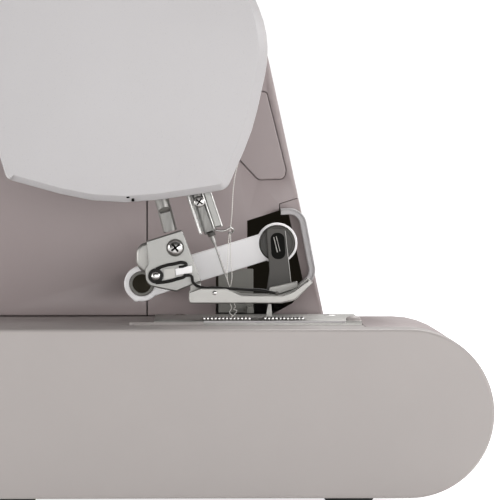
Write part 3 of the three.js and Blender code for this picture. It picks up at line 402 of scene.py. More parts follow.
def plate_mesh(corners, x0, x1, bevel=0.3, segments=3):
    """A flat plate from the corners of a (Y, Z) outline, between two X planes, with rounded rims."""
    points = rounded(corners)
    if area_of(points) < 0:
        points = points[::-1]
    curve = bpy.data.curves.new("outline", "CURVE")
    curve.dimensions = "2D"
    curve.fill_mode = "BOTH"
    curve.extrude = (x1 - x0) / 2 - bevel
    curve.bevel_depth = bevel
    curve.bevel_resolution = segments - 1
    curve.offset = -bevel
    spline = curve.splines.new("POLY")
    spline.points.add(len(points) - 1)
    for target, point in zip(spline.points, points):
        target.co = (point.x, point.y, 0, 1)
    spline.use_cyclic_u = True
    mesh = convert(curve)
    mesh.transform(Matrix.Translation(((x0 + x1) / 2, 0, 0)) @ SIDE_ON)
    return welded(mesh)


def welded(mesh):
    """The same mesh with its seams closed, so that it can be cut."""
    build = bmesh.new()
    build.from_mesh(mesh)
    bmesh.ops.remove_doubles(build, verts=build.verts, dist=0.002)
    bmesh.ops.recalc_face_normals(build, faces=build.faces)
    build.to_mesh(mesh)
    build.free()
    return mesh


def convert(data):
    """The mesh of a curve, with the curve deleted."""
    carrier = new_object("carrier", data)
    graph = bpy.context.evaluated_depsgraph_get()
    mesh = bpy.data.meshes.new_from_object(carrier.evaluated_get(graph))
    bpy.data.objects.remove(carrier)
    bpy.data.curves.remove(data)
    return mesh


def tube_mesh(points, radius, round_steps=5):
    """A round wire on a smooth curve through the points."""
    curve = bpy.data.curves.new("wire", "CURVE")
    curve.dimensions = "3D"
    curve.bevel_depth = radius
    curve.bevel_resolution = round_steps
    curve.use_fill_caps = True
    curve.resolution_u = 8
    spline = curve.splines.new("BEZIER")
    spline.bezier_points.add(len(points) - 1)
    for target, point in zip(spline.bezier_points, points):
        target.co = point
        target.handle_left_type = target.handle_right_type = "AUTO"
    return convert(curve)


def lathe_mesh(profile, segments=48):
    """A profile of (radius, height) points turned about Z."""
    build = bmesh.new()
    rings = []
    for radius, height in profile:
        count = 1 if radius == 0 else segments
        angles = [2 * pi * i / segments for i in range(count)]
        rings.append([build.verts.new((radius * cos(t), radius * sin(t), height)) for t in angles])
    for low, high in zip(rings, rings[1:]):
        for i in range(segments):
            j = (i + 1) % segments
            corners = [low[i % len(low)], low[j % len(low)], high[j % len(high)], high[i % len(high)]]
            unique = list(dict.fromkeys(corners))
            if len(unique) > 2:
                build.faces.new(unique)
    return to_mesh(build)


def to_mesh(build):
    bmesh.ops.recalc_face_normals(build, faces=build.faces)
    mesh = bpy.data.meshes.new("mesh")
    build.to_mesh(mesh)
    build.free()
    return mesh


def block_mesh(x0, x1, y0, y1, z0, z1, bevel=0.2, segments=2):
    build = bmesh.new()
    bmesh.ops.create_cube(build, size=1)
    middle = Vector(((x0 + x1) / 2, (y0 + y1) / 2, (z0 + z1) / 2))
    size = Vector((x1 - x0, y1 - y0, z1 - z0))
    for vertex in build.verts:
        vertex.co = middle + vertex.co * size
    if bevel:
        bmesh.ops.bevel(build, geom=build.edges[:], offset=bevel, segments=segments, affect="EDGES",
                        profile=0.5)
    return to_mesh(build)


def facing_left(mesh, x, y, z):
    """A lathed mesh with its +Z turned to face -X, its origin moved to a place."""
    mesh.transform(Matrix.Translation((x, y, z)) @ Matrix.Rotation(-pi / 2, 4, "Y"))
    return mesh


def facing_right(mesh, x, y, z):
    mesh.transform(Matrix.Translation((x, y, z)) @ Matrix.Rotation(pi / 2, 4, "Y"))
    return mesh


def joined(*meshes):
    build = bmesh.new()
    for mesh in meshes:
        build.from_mesh(mesh)
        bpy.data.meshes.remove(mesh)
    mesh = bpy.data.meshes.new("joined")
    build.to_mesh(mesh)
    build.free()
    return mesh


def combined(mesh, tool, operation="DIFFERENCE"):
    """One mesh cut by or joined to another."""
    carriers = [new_object(name, data) for name, data in (("base", mesh), ("tool", tool))]
    boolean = carriers[0].modifiers.new("boolean", "BOOLEAN")
    boolean.operation = operation
    boolean.solver = "EXACT"
    boolean.object = carriers[1]
    graph = bpy.context.evaluated_depsgraph_get()
    result = bpy.data.meshes.new_from_object(carriers[0].evaluated_get(graph))
    for carrier, data in zip(carriers, (mesh, tool)):
        bpy.data.objects.remove(carrier)
        bpy.data.meshes.remove(data)
    return result


def bridged(rings):
    """The mesh of a row of rings of points, each joined to the next, with both ends closed."""
    build = bmesh.new()
    rings = [[build.verts.new(point) for point in ring] for ring in rings]
    for first, second in zip(rings, rings[1:]):
        for i in range(len(first)):
            j = (i + 1) % len(first)
            build.faces.new((first[i], first[j], second[j], second[i]))
    build.faces.new(rings[-1])
    build.faces.new(rings[0])
    return to_mesh(build)


def sweep_mesh(path, profile, x):
    """A closed (outward, X) profile run along a path of (Y, Z) points, with flat ends."""
    rings = []
    for i, point in enumerate(path):
        along = (path[min(i + 1, len(path) - 1)] - path[max(i - 1, 0)]).normalized()
        outward = Vector((along.y, -along.x))
        rings.append([(x + v, *(point + outward * u)) for u, v in profile])
    return bridged(rings)


def piece(name, mesh, body, slot, replaces=(), look=None, matrix=ROW, sharp=35):
    """A finished piece: welded, smooth with sharp edges, riding on its body."""
    mesh.transform(matrix)
    build = bmesh.new()
    build.from_mesh(mesh)
    bmesh.ops.remove_doubles(build, verts=build.verts, dist=2e-6)
    bmesh.ops.dissolve_degenerate(build, edges=build.edges, dist=1e-7)
    bmesh.ops.recalc_face_normals(build, faces=build.faces)
    build.to_mesh(mesh)
    build.free()
    mesh.materials.clear()
    mesh.materials.append(look or LOOKS[slot])
    mesh.shade_smooth()
    mesh.set_sharp_from_angle(angle=radians(sharp))
    made = new_object(name, mesh)
    weighted = made.modifiers.new("flat_faces", "WEIGHTED_NORMAL")
    weighted.keep_sharp = True
    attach(made, body)
    if replaces:
        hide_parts(*replaces)
    return made


# ---- bed end cover ----
BED_FILLET = 1.3
FILLET_STEPS = 4
BED_DOME = 0.25  # how far the flat end swells at its middle
BED_WALL = 3.0
BED_ARC_STEPS = 40


def make_bed_end():
    radius = (BED_HIGH.z - BED_LOW.z) / 2
    middle = (BED_HIGH.z + BED_LOW.z) / 2
    reach = BED_HIGH.y - radius
    turns = [-pi / 2 + pi * i / BED_ARC_STEPS for i in range(BED_ARC_STEPS + 1)]
    rear = [Vector((reach + radius * cos(t), middle + radius * sin(t))) for t in turns]
    front = [Vector((-reach - radius * cos(t), middle - radius * sin(t))) for t in turns]
    mesh = shell_cap(rear + front, BED_LOW.x, BED_HIGH.x, Vector((0, middle)))
    piece("bed_end_cap", mesh, "machine", "bed_plastic", ["bed_end_cover"], sharp=60)


def shell_cap(outer, x_face, x_rim, centre):
    """A cup-shaped end cap: a slightly domed face, a round fillet, a side wall and a hollow back."""
    normals = [outward_at(outer, i) for i in range(len(outer))]

    def ring(inward, x):
        return [(x, *(p - n * inward)) for p, n in zip(outer, normals)]

    def scaled(share, x):
        edge = [p - n * BED_FILLET for p, n in zip(outer, normals)]
        return [(x, *(centre + (p - centre) * share)) for p in edge]

    flat = x_face + BED_DOME
    rings = [ring(BED_WALL, flat + BED_FILLET + BED_WALL), ring(BED_WALL, x_rim), ring(0, x_rim)]
    for i in range(FILLET_STEPS + 1):
        turn = pi / 2 * i / FILLET_STEPS
        rings.append(ring(BED_FILLET * (1 - cos(turn)), flat + BED_FILLET * (1 - sin(turn))))
    for share in (0.93, 0.8, 0.6, 0.35, 0.12):
        rings.append(scaled(share, x_face + BED_DOME * share * share))
    return bridged(rings)


# ---- head end cap ----
HEAD_OUTLINE = [  # (Y, Z, radius) from the lower front corner, along the bottom, up the back and over
    (-19.6, 133.4, 5), (-4, 131, 60), (30, 126, 100), (72.5, 137.8, 4), (88.5, 190, 80), (77, 262, 40),
    (-8, 268, 22), (-38.9, 196, 46), (-30.5, 158, 90),
]
HEAD_CENTRE = Vector((22, 200))
FRONT_BAND, UNDER_BAND, REAR_BAND = 3.9, 2.7, 0.9  # width of the facet round the cap's face, by side
BAND_DEPTH = 3.0
HEAD_DOME = 1.6
HEAD_HOLLOW = 0.94  # the hollow's size as a share of the outline
HEAD_FACE_DEPTH = 8
LATCH_BLOCKS = [  # x0, x1, y0, y1, z0, z1
    (-148.2, -146, 21.1, 22.4, 129.8, 130.6), (-147.0, -144.4, 19.1, 20.3, 128.4, 129.9),
]


def band_width(outward):
    """The facet's width: wide at the front, narrower below, a fine edge at the back."""
    front = max(-outward.x, 0)
    under = max(-outward.y, 0)
    wide = FRONT_BAND * front * front + UNDER_BAND * under * under * (1 if outward.x < 0.3 else 0.5)
    return max(wide, REAR_BAND)


def make_head_cap():
    outer = rounded(HEAD_OUTLINE)
    outwards = [outward_at(outer, i) for i in range(len(outer))]
    face = [point - outward * band_width(outward) for point, outward in zip(outer, outwards)]

    def ring(points, x):
        return [(x, *p) for p in points]

    def toward_centre(points, share):
        return [HEAD_CENTRE + (p - HEAD_CENTRE) * share for p in points]

    low, high = CAP_LOW.x, CAP_HIGH.x
    rim = low + HEAD_DOME
    hollow = toward_centre(outer, HEAD_HOLLOW)
    rings = [ring(hollow, low + HEAD_FACE_DEPTH), ring(hollow, high), ring(outer, high)]
    rings.append(ring(outer, rim + BAND_DEPTH + 0.8))
    rings.append(ring(toward_centre(outer, 0.997), rim + BAND_DEPTH))
    rings.append(ring([a.lerp(b, 0.12) for a, b in zip(face, outer)], rim + 0.25))
    rings.append(ring(face, rim))
    for share in (0.985, 0.93, 0.8, 0.6, 0.35, 0.12):
        rings.append(ring(toward_centre(face, share), low + HEAD_DOME * share * share))
    piece("head_cap", bridged(rings), "machine", "white_plastic", ["head_end_cap"], sharp=25)
    latch = joined(*[block_mesh(*sides, 0.2) for sides in LATCH_BLOCKS])
    piece("cap_latch", latch, "machine", "black_plastic", look=CREVICE_SHADE)


# ---- knife opening rim and side panel ----
RIM_PATH = [(-44.9, 122.9), (-53.8, 123.4, 6.5), (-59.4, 94.2, 6.5), (-47, 84.2)]
RIM_HALF = 1.4  # half the lip's thickness
RIM_EDGE = [(-1.4, 0.9), (-1.1, 0.6), (0.5, 0.5), (0.75, 0.1), (1.2, 0), (1.4, 0.3)]  # outward, depth
PANEL_OUTLINE = [
    (-22, 176, 1), (-38.6, 176.5, 2), (-47.4, 141.4, 1), (-46.6, 137.4, 2.5), (-35, 137, 3),
    (-26.8, 145.7, 3), (-22, 155, 2),
]


def make_opening_rim():
    low, high = span("knife_opening_rim")
    half = (high.x - low.x) / 2
    profile = [(outward, depth - half) for outward, depth in RIM_EDGE]
    profile += [(RIM_HALF, half), (-RIM_HALF, half)]
    mesh = sweep_mesh(rounded(RIM_PATH), profile, (low.x + high.x) / 2)
    piece("opening_lip", mesh, "door", "white_plastic", ["knife_opening_rim"])


def make_side_panel():
    low, high = span("side_panel")
    mesh = plate_mesh(PANEL_OUTLINE, low.x, high.x, 0.6)
    piece("side_cover_plate", mesh, "machine", "taupe_plastic", ["side_panel"])


# ---- presser bar, ankle and foot: the bar is measured up it, from PRESSER_FRAME ----
PRESSER_PROFILE = [(0, -13.8), (2.7, -13.8), (3, -13.5), (3, 65.6), (2.6, 66), (0, 66)]
FLAT_X = -2.15  # the flat milled on the bar's left side
FLAT_TOP = -5.5
SLOPE_PLACE = (-3.6, 0, -4.6)  # where the flat runs out
SLOPE_HALF = 1.6


def make_presser_bar():
    flat = block_mesh(-4, FLAT_X, -4, 4, -15, FLAT_TOP, 0)
    slope = block_mesh(-SLOPE_HALF, SLOPE_HALF, -4, 4, -SLOPE_HALF, SLOPE_HALF, 0)
    slope.transform(Matrix.Translation(SLOPE_PLACE) @ Matrix.Rotation(radians(30), 4, "Y"))
    bar = combined(combined(lathe_mesh(PRESSER_PROFILE), flat), slope)
    rod = piece("presser_rod", bar, "presser", "chrome", ["presser_bar"], BRUSHED, PRESSER_FRAME)
    rod.data.materials.append(MILLED_SHADE)
    # the flat, facing -X, gets the darker copy: painted shade
    for face in rod.data.polygons:
        if face.normal.x < -0.99:
            face.material_index = 1


ANKLE_FACE = -126
ANKLE_THICKNESS = 7
ANKLE_OUTLINE = [
    (14.3, 111.2, 0.6), (13.4, 102.2, 1.5), (14.8, 99.4, 3), (14.4, 92.6, 4), (8.6, 91.2, 3),
    (1.7, 89.9, 0.6), (-9.0, 94.2, 0.5), (-0.85, 116.1, 0.8),
]
BACK_TAB = [(18.7, 110.4, 5), (18.9, 98.2, 6), (8, 96, 0), (8, 110.8, 0)]
ANKLE_SCREW = (2.05, 108.5)
ANKLE_SCREW_SIZE = (3.3, 1.9, 2.1)  # radius, height and half the cross


def make_ankle():
    front = plate_mesh(ANKLE_OUTLINE, ANKLE_FACE, ANKLE_FACE + ANKLE_THICKNESS, 0.55)
    piece("ankle_plate", front, "presser", "steel", ["presser_ankle"], ANKLE_NICKEL_SHADED)
    piece("ankle_back_tab", plate_mesh(BACK_TAB, -117.8, -112.4, 1.4, 4), "presser", "steel")
    make_ankle_screw()
    make_release()


CROSS_TURN = radians(38)


def cross_bars(cross, half_width, bottom, top, bevel):
    """The two bars of a screw's cross recess."""
    bars = []
    for turn in (0, pi / 2):
        bar = block_mesh(-cross, cross, -half_width, half_width, bottom, top, bevel)
        bar.transform(Matrix.Rotation(turn + CROSS_TURN, 4, "Z"))
        bars.append(bar)
    return bars


def phillips_head(radius, height, cross):
    """A domed screw head with a cross recess, its flat back at Z = 0."""
    turns = [pi / 2 * i / 8 for i in range(9)]
    dome = [(radius * cos(t), height * (0.35 + 0.65 * sin(t))) for t in turns]
    dome[-1] = (0, height)
    head = lathe_mesh([(0, 0), (radius, 0), *dome])
    for slot in cross_bars(cross, radius * 0.13, height * 0.45, height * 2, 0):
        head = combined(head, slot)
    return head


def cross_floor(radius, height, cross):
    """The floor of a screw's cross recess, a little below the head's top; drawn in black it is painted shade."""
    return joined(*cross_bars(cross, radius * 0.15, height * 0.5, height * 0.86, 0.05))


def make_ankle_screw():
    head = facing_left(phillips_head(*ANKLE_SCREW_SIZE), ANKLE_FACE - 0.3, *ANKLE_SCREW)
    piece("ankle_screw_head", head, "presser", "chrome", ["ankle_screw"])
    cross = facing_left(cross_floor(*ANKLE_SCREW_SIZE), ANKLE_FACE - 0.3, *ANKLE_SCREW)
    piece("ankle_screw_cross_shade", cross, "presser", "black_plastic", look=CREVICE_SHADE)
    inner, outer, height = ANKLE_SCREW_SIZE[0], 3.75, 0.35
    washer = lathe_mesh([(inner, 0), (outer, 0), (outer, height), (inner, height), (inner, 0)])
    piece("ankle_screw_seat", facing_left(washer, ANKLE_FACE - 0.05, *ANKLE_SCREW), "presser", "dark_metal")


RING = (10.34, 96.5)  # the release pin
SPRING_TILT = radians(6)
SPRING_LEGS = [  # (along, across) from the pin
    [(0.5, -2.9), (4.2, -3.9), (8.5, -4.3), (12.6, -4.3), (13.4, -3.4), (12.4, -2.7), (10.2, -2.6)],
    [(-0.4, 2.9), (4.5, 2.9), (9, 2.2), (12.4, 1.2), (12.6, 0.4)],
]
RELEASE_TAB = [(3.4, -2.6), (3.4, 2.2), (8.4, 1.6), (8.4, -2.6)]
RELEASE_BAR = [(8.6, -2.2), (8.6, 0.6), (15.6, 0.2), (15.9, -2.9)]
WIRE_X = -130.6
RELEASE_WIRE = [
    (-127.1, -2.6, 96.7), (-128.2, -4.6, 96.6), (-129.4, -5.7, 93.7), (-130.4, -8.6, 91.9),
    (WIRE_X, -15, 91.6), (WIRE_X, -27, 90.9), (WIRE_X, -36.0, 90.2), (WIRE_X, -39.2, 89.6),
    (WIRE_X, -40.9, 89.2),
]
WIRE_SLEEVE = [(WIRE_X, -31.2, 90.55), (WIRE_X, -34, 90.4), (WIRE_X, -36.6, 90.05)]
SPRING_RING = [(1.9, 0), (3.1, 0), (3.25, 0.3), (3.1, 0.9), (2.1, 1.0), (1.9, 0.8), (1.9, 0)]
RELEASE_PIN = [(0, 0), (1.9, 0), (1.9, 1.1), (1.6, 1.5), (0.9, 1.75), (0, 1.8)]
WIRE_TIP = [(0, 0), (0.75, 0), (0.75, 0.5), (0.5, 0.75), (0, 0.8)]


def leg_point(along, across):
    """A (Y, Z) place on the release spring, measured from its ring towards the needles."""
    return (RING[0] - along * cos(SPRING_TILT) - across * sin(SPRING_TILT),
            RING[1] + along * sin(SPRING_TILT) - across * cos(SPRING_TILT))


def release_plate(corners, proud, bevel):
    outline = [(*leg_point(*corner), 0.3) for corner in corners]
    return plate_mesh(outline, ANKLE_FACE - proud, ANKLE_FACE - 0.2, bevel)


def make_release():
    ring = facing_left(lathe_mesh(SPRING_RING), ANKLE_FACE - 0.3, *RING)
    legs = [tube_mesh([(ANKLE_FACE - 0.9, *leg_point(*p)) for p in leg], 0.7) for leg in SPRING_LEGS]
    wires = [tube_mesh(RELEASE_WIRE, 0.62), tube_mesh(WIRE_SLEEVE, 0.95)]
    piece("release_spring_wire", joined(ring, *legs, *wires), "presser", "black_wire", ["release_spring"])
    piece("release_pin", facing_left(lathe_mesh(RELEASE_PIN), ANKLE_FACE - 0.3, *RING), "presser", "chrome")
    piece("release_tab", release_plate(RELEASE_TAB, 0.7, 0.15), "presser", "steel")
    piece("release_bar", release_plate(RELEASE_BAR, 1.5, 0.25), "presser", "white_plastic", look=ARM_WHITE_LIT)
    tip = facing_left(lathe_mesh(WIRE_TIP, 20), WIRE_X - 0.3, -41.2, 89.3)
    piece("release_wire_tip", tip, "presser", "dark_metal")


FOOT_LEFT, FOOT_RIGHT = -132, -108
FOOT_WALL = 1.6
FOOT_SIDE = [
    (-3.8, 85.1, 1.2), (-3.8, 89.6, 0.8), (-8.9, 91.4, 1), (-19.6, 91.2, 4), (-26.2, 88.3, 4),
    (-43.6, 88.3, 5), (-47.6, 89.6, 6), (-54.8, 95, 0.4), (-56.6, 93.9, 0.5), (-48.9, 86.7, 6),
    (-42.6, 85.1, 5),
]
SOLE = [
    (-5, 84.9), (-5, 86.4), (-42.3, 86.4, 6), (-47.6, 87.8, 5), (-55.4, 94.6, 0.4), (-56.4, 93.8, 0.3),
    (-48.9, 86.2, 6), (-42.6, 84.9, 5),
]
NEEDLE_SLOT = (-125, -115, -31, -17.5, 80, 95)
FOOT_RIVET = [(0, 0), (0.95, 0), (0.9, 0.15), (0.5, 0.32), (0, 0.36)]
EDGE_GUIDE = [
    (-37.9, 88.1, 0.3), (-38.6, 91.1, 0.3), (-50.6, 93.6, 0.3), (-50.9, 90.9, 0.5), (-42.8, 88.1, 2),
]


def make_foot():
    near = plate_mesh(FOOT_SIDE, FOOT_LEFT, FOOT_LEFT + FOOT_WALL, 0.35)
    far = plate_mesh(FOOT_SIDE, FOOT_RIGHT - FOOT_WALL, FOOT_RIGHT, 0.35)
    sole = plate_mesh(SOLE, FOOT_LEFT + 1.2, FOOT_RIGHT - 1.2, 0.2)
    sole = combined(sole, block_mesh(*NEEDLE_SLOT, 0))
    piece("foot_plate", joined(near, far, sole), "presser", "steel", ["presser_foot"])
    rivet = facing_left(lathe_mesh(FOOT_RIVET, 24), FOOT_LEFT - 0.02, -14.6, 89.5)
    piece("foot_rivet", rivet, "presser", "chrome")
    piece("foot_hinge_block", block_mesh(-123.5, -116.5, -9, -4.2, 86, 93.4, 0.5), "presser", "steel")
    guide = plate_mesh(EDGE_GUIDE, FOOT_RIGHT - 3, FOOT_RIGHT + 0.3)
    piece("foot_edge_guide", guide, "presser", "steel")


# ---- needle clamp, needles and threads: the clamp is measured up the bar, from NEEDLE_FRAME ----
NEEDLE_Y = -0.4  # the needles stand a little in front of the bar's axis
CLAMP_BLOCK = [(-2.25, 1.1, 0.3), (2.35, 1.1, 0.3), (2.35, 22, 0.3), (-2.25, 22, 0.3)]
CLAMP_WEB = [(-1, 2.0), (4.2, 3.0), (4.2, 21.5), (-1, 21.5)]
CLAMP_FIN = [(3.2, 1.6, 0.2), (4.55, 2.2, 0.2), (4.55, 22, 0.2), (3.2, 22, 0.2)]
CLAMP_JAW = [(-6, 2.2, 0.3), (-2.45, 2.6, 0.3), (-2.45, 20, 0.3), (-6, 20, 0.3)]
HIGHLIGHT_EDGES = [(-2.5, -2.05, 20), (-6, -5.55, 19.6)]  # painted highlights on the clamp's edges: Y from, Y to and top
CLAMP_SCREW = (-5.6, 0.15, 15.3)
CLAMP_SCREW_SIZE = (2.45, 1.5, 1.7)
THREAD_GUIDE = [
    (-123.6, -13.4, 118.0), (-124.4, -14.6, 116.5), (-124.6, -16.4, 115.7), (-124.6, -19.4, 115.9),
    (-124.4, -21.7, 116.9), (-124.0, -22.6, 116.2), (-123.0, -22.2, 115.0), (-122.2, -20.4, 114.7),
]
SOCKET = [(0, -0.4), (1.5, -0.4), (1.7, -0.1), (1.7, 1.6), (0, 1.6)]
NEEDLE_ROD = [(0, 22.3), (3.3, 22.3), (3.5, 22.6), (3.5, 97.6), (3.2, 98), (0, 98)]


def on_needle_bar(name, mesh, slot, replaces=(), look=None):
    piece(name, mesh, "needle_carrier", slot, replaces, look, NEEDLE_FRAME)


def moved(mesh, *place):
    mesh.transform(Matrix.Translation(place))
    return mesh


def make_needle_clamp():
    block = joined(plate_mesh(CLAMP_BLOCK, -5.5, 5.5, 0.85, 2), plate_mesh(CLAMP_WEB, -4.2, 5.1, 0.1, 2))
    on_needle_bar("clamp_block", block, "steel", ["needle_clamp"], MILLED_SHADE)
    edges = [plate_mesh([(y0, 2.4), (y1, 2.4), (y1, top), (y0, top)], -5.75, -4.8, 0.1, 2)
             for y0, y1, top in HIGHLIGHT_EDGES]
    on_needle_bar("clamp_fin", joined(plate_mesh(CLAMP_FIN, -5.3, 5.3, 0.5, 2), *edges), "steel", look=BRIGHT_HIGHLIGHT)
    on_needle_bar("clamp_jaw", plate_mesh(CLAMP_JAW, -5.1, 5.1, 0.6, 2), "steel", look=ANKLE_NICKEL_SHADED)
    head = facing_left(phillips_head(*CLAMP_SCREW_SIZE), *CLAMP_SCREW)
    on_needle_bar("clamp_screw", head, "chrome", ["needle_clamp_screw"])
    cross = facing_left(cross_floor(*CLAMP_SCREW_SIZE), *CLAMP_SCREW)
    on_needle_bar("clamp_screw_cross_shade", cross, "black_plastic", look=CREVICE_SHADE)
    piece("thread_guide_wire", tube_mesh(THREAD_GUIDE, 0.42), "needle_carrier", "chrome")
    on_needle_bar("needle_socket", moved(lathe_mesh(SOCKET, 24), -2, NEEDLE_Y, 0), "dark_metal")
    on_needle_bar("needle_rod", moved(lathe_mesh(NEEDLE_ROD), 0, 0.7, 0), "chrome", ["needle_bar"])


NEEDLES = {"needle_left": (-2, -25.6), "needle_right": (2, -24.6)}  # X and the tip's height
SHANK, BLADE = 0.98, 0.43  # radii


def make_needles():
    for name, (x, tip) in NEEDLES.items():
        profile = [(0, tip), (0.12, tip + 0.5), (0.4, tip + 3.2), (BLADE, -5.4), (0.62, -4), (SHANK, -2.6),
                   (SHANK, 0.9), (0, 0.9)]
        eye = block_mesh(-2, 2, -0.16, 0.16, tip + 3.6, tip + 5.2, 0)
        blade = moved(combined(lathe_mesh(profile, 24), eye), x, NEEDLE_Y, 0)
        on_needle_bar(f"{name}_blade", blade, "chrome", [name], BRUSHED)


THREAD_RADIUS = 0.17
THREAD_ABOVE = [(-31.8, 186), (-29.6, 165), (-25.4, 147), (-23.2, 137.3), (-21.9, 120), (-21.4, 116)]
THREAD_BELOW = {
    "needle_thread_left": (-122.4, [(-20.9, 113), (-20.4, 103), (-20.2, 95), (-21.2, 91.4)]),
    "needle_thread_right": (-119.2, [(-21.6, 113), (-21.7, 103), (-22.2, 95.5), (-21.6, 91.6)]),
}
THREAD_TAILS = [
    [(-120.5, -21.4, 84.4), (-120.6, -22.0, 82.6), (-120.4, -21.2, 80.6), (-120.6, -22.4, 79.2),
     (-120.4, -22.0, 78.3)],
    [(-119.4, -23.2, 84.4), (-119.6, -23.6, 82.9), (-119.2, -22.9, 82.0), (-119.6, -24.2, 81.4),
     (-119.4, -23.6, 80.2), (-119.6, -22.6, 79.2)],
]


def make_threads():
    for name, (x, below) in THREAD_BELOW.items():
        strand = tube_mesh([(x, y, z) for y, z in THREAD_ABOVE + below], THREAD_RADIUS, round_steps=3)
        piece(f"{name}_strand", strand, "needle_carrier", "thread", [name])
    tails = [tube_mesh(points, THREAD_RADIUS, round_steps=3) for points in THREAD_TAILS]
    piece("thread_tails", joined(*tails), "machine", "thread")


# ---- feed dogs, plate and lower knife ----
TOOTH_PITCH = 1.6
TOOTH_TOPS = (1.4, 0.5)  # above the plate: the near row, then the far row
TOOTH_BACK, TOOTH_FRONT = 0.35, 1.25  # within the pitch
FEED_DOGS = {"main_feed": ("feed_dog_main", 13), "differential_feed": ("feed_dog_differential", 11)}
DOG_WIDTH = 2.8
BRIDGE_WIDTH = 4


def make_feed_dogs():
    for body, (node, teeth) in FEED_DOGS.items():
        low, high = span(node)
        bars, tips, far_tips_shaded = [], [], []
        for row, (x0, x1) in enumerate(((low.x, low.x + DOG_WIDTH), (high.x - DOG_WIDTH, high.x))):
            bars.append(block_mesh(x0, x1, low.y, high.y, low.z + 2, PLATE_HIGH.z + 0.3, 0.1))
            for i in range(teeth):
                start = low.y + i * TOOTH_PITCH
                tip = block_mesh(x0 + 0.3, x1 - 0.3, start + TOOTH_BACK, start + TOOTH_FRONT,
                                 PLATE_HIGH.z - 0.2, PLATE_HIGH.z + TOOTH_TOPS[row], 0.4, 3)
                (far_tips_shaded if row else tips).append(tip)
        bridge = high.y - 5 if body == "main_feed" else low.y + 1
        bars.append(block_mesh(low.x + 1, high.x - 1, bridge, bridge + BRIDGE_WIDTH, low.z, low.z + 3.4, 0.3))
        # the far row's teeth go in with the bars' dark oxide: painted shade where the foot shades them
        piece(f"{body}_bars", joined(*bars, *far_tips_shaded), body, "dark_metal", [node])
        piece(f"{body}_teeth", joined(*tips), body, "chrome")


NUB = [(0, 0), (3.2, 0), (3.2, 0.5), (3.0, 1.1), (2.3, 1.7), (1.2, 2.0), (0, 2.1)]
FINGER_TOP = 84.3


def make_plate_details():
    edge, top, bed = PLATE_LOW.x, PLATE_HIGH.z, BED_HIGH.z - 0.2
    ridge = joined(block_mesh(edge - 1.4, edge - 0.2, -9.8, 21.5, bed, top - 0.4, 0.4),
                   block_mesh(edge - 2.0, edge - 0.4, 13, 19.5, bed, top - 0.9, 0.4))
    piece("bed_ridge", ridge, "machine", "bed_plastic")
    # a thin white strip over the plate's near top edge: painted highlight
    lip = joined(block_mesh(edge - 0.25, edge + 0.1, -69.5, -10, top - 0.75, top + 0.05, 0.1),
                 block_mesh(edge - 0.35, edge + 0.1, -69.9, -68.6, top - 1.0, top + 0.05, 0.15))
    piece("plate_edge_highlight", lip, "machine", "white_plastic")
    piece("plate_nub", moved(lathe_mesh(NUB), edge + 3.6, -73.4, top), "machine", "bed_plastic")
    finger = [(-37.0, top), (-39.9, top), (-39.3, FINGER_TOP), (-38.1, FINGER_TOP)]
    piece("chain_finger", plate_mesh(finger, -106, -104.6, 0.2), "machine", "steel")


LOWER_KNIFE_REAR, LOWER_KNIFE_FRONT = -17, -32.5


def make_lower_knife():
    low, high = span("lower_knife")
    outline = [(y, z, 0.3) for y, z in ((LOWER_KNIFE_REAR, low.z), (LOWER_KNIFE_REAR, high.z),
                                        (LOWER_KNIFE_FRONT, high.z), (LOWER_KNIFE_FRONT, low.z))]
    blade = plate_mesh(outline, high.x - 3, high.x)
    foot = block_mesh(-75, high.x - 2, LOWER_KNIFE_FRONT, LOWER_KNIFE_FRONT + 2.9, low.z, low.z + 3.1)
    piece("lower_knife_blade", joined(blade, foot), "machine", "cast_metal", ["lower_knife"])


# ---- knife arm, knob and upper knife ----
ARM_LOW, ARM_HIGH = span("upper_knife_arm")
ARM_REACH = Vector(KNIFE_HEAD) - Vector(KNIFE_PIVOT)
ARM_ALONG = ARM_REACH.normalized()
ARM_UP = Vector((ARM_ALONG.y, -ARM_ALONG.x))
PIVOT_RADIUS, PIVOT_BORE = 7.7, 5.5
HEAD_RADIUS, HEAD_BORE = 8.8, 7.85
COLLAR = [(4.15, 0), (5.2, 0), (5.2, 6), (4.8, 6.35), (4.15, 6.1), (4.15, 0)]
BORE_FLOOR = [(0, 0), (4.1, 0), (4.1, 1), (0, 1)]
KNOB = [(0, 0), (7.5, 0), (7.5, 6.4), (7.2, 6.7), (6.7, 6.7), (6.5, 6.3), (0, 6.2)]
KNIFE_OUTLINE = [
    (-37.2, 116.2, 1.5), (-45.6, 116.0, 1.5), (-46.6, 106), (-48.2, 91), (-48.4, 85.5, 0.4),
    (-38.6, 83.6, 0.4), (-37.4, 90, 1), (-38.6, 98, 2),
]
RECESS_SHADE = [(-38.9, 114.4, 2.8), (-44.9, 114.5, 2.8), (-45.7, 103.2, 2.8), (-39.6, 102.9, 2.8)]
HIGHLIGHT_LINES = [  # painted highlights on the slot's edges and the blade's right edge: (Y, Z) points, then the radius
    ([(-40.4, 112.6), (-42.0, 106.0)], 0.2), ([(-41.5, 112.9), (-43.1, 106.5)], 0.16),
    ([(-45.4, 115.4), (-46.4, 106), (-47.9, 93)], 0.14),
]


def arm_point(along, up):
    return tuple(Vector(KNIFE_PIVOT) + ARM_ALONG * along + ARM_UP * up)


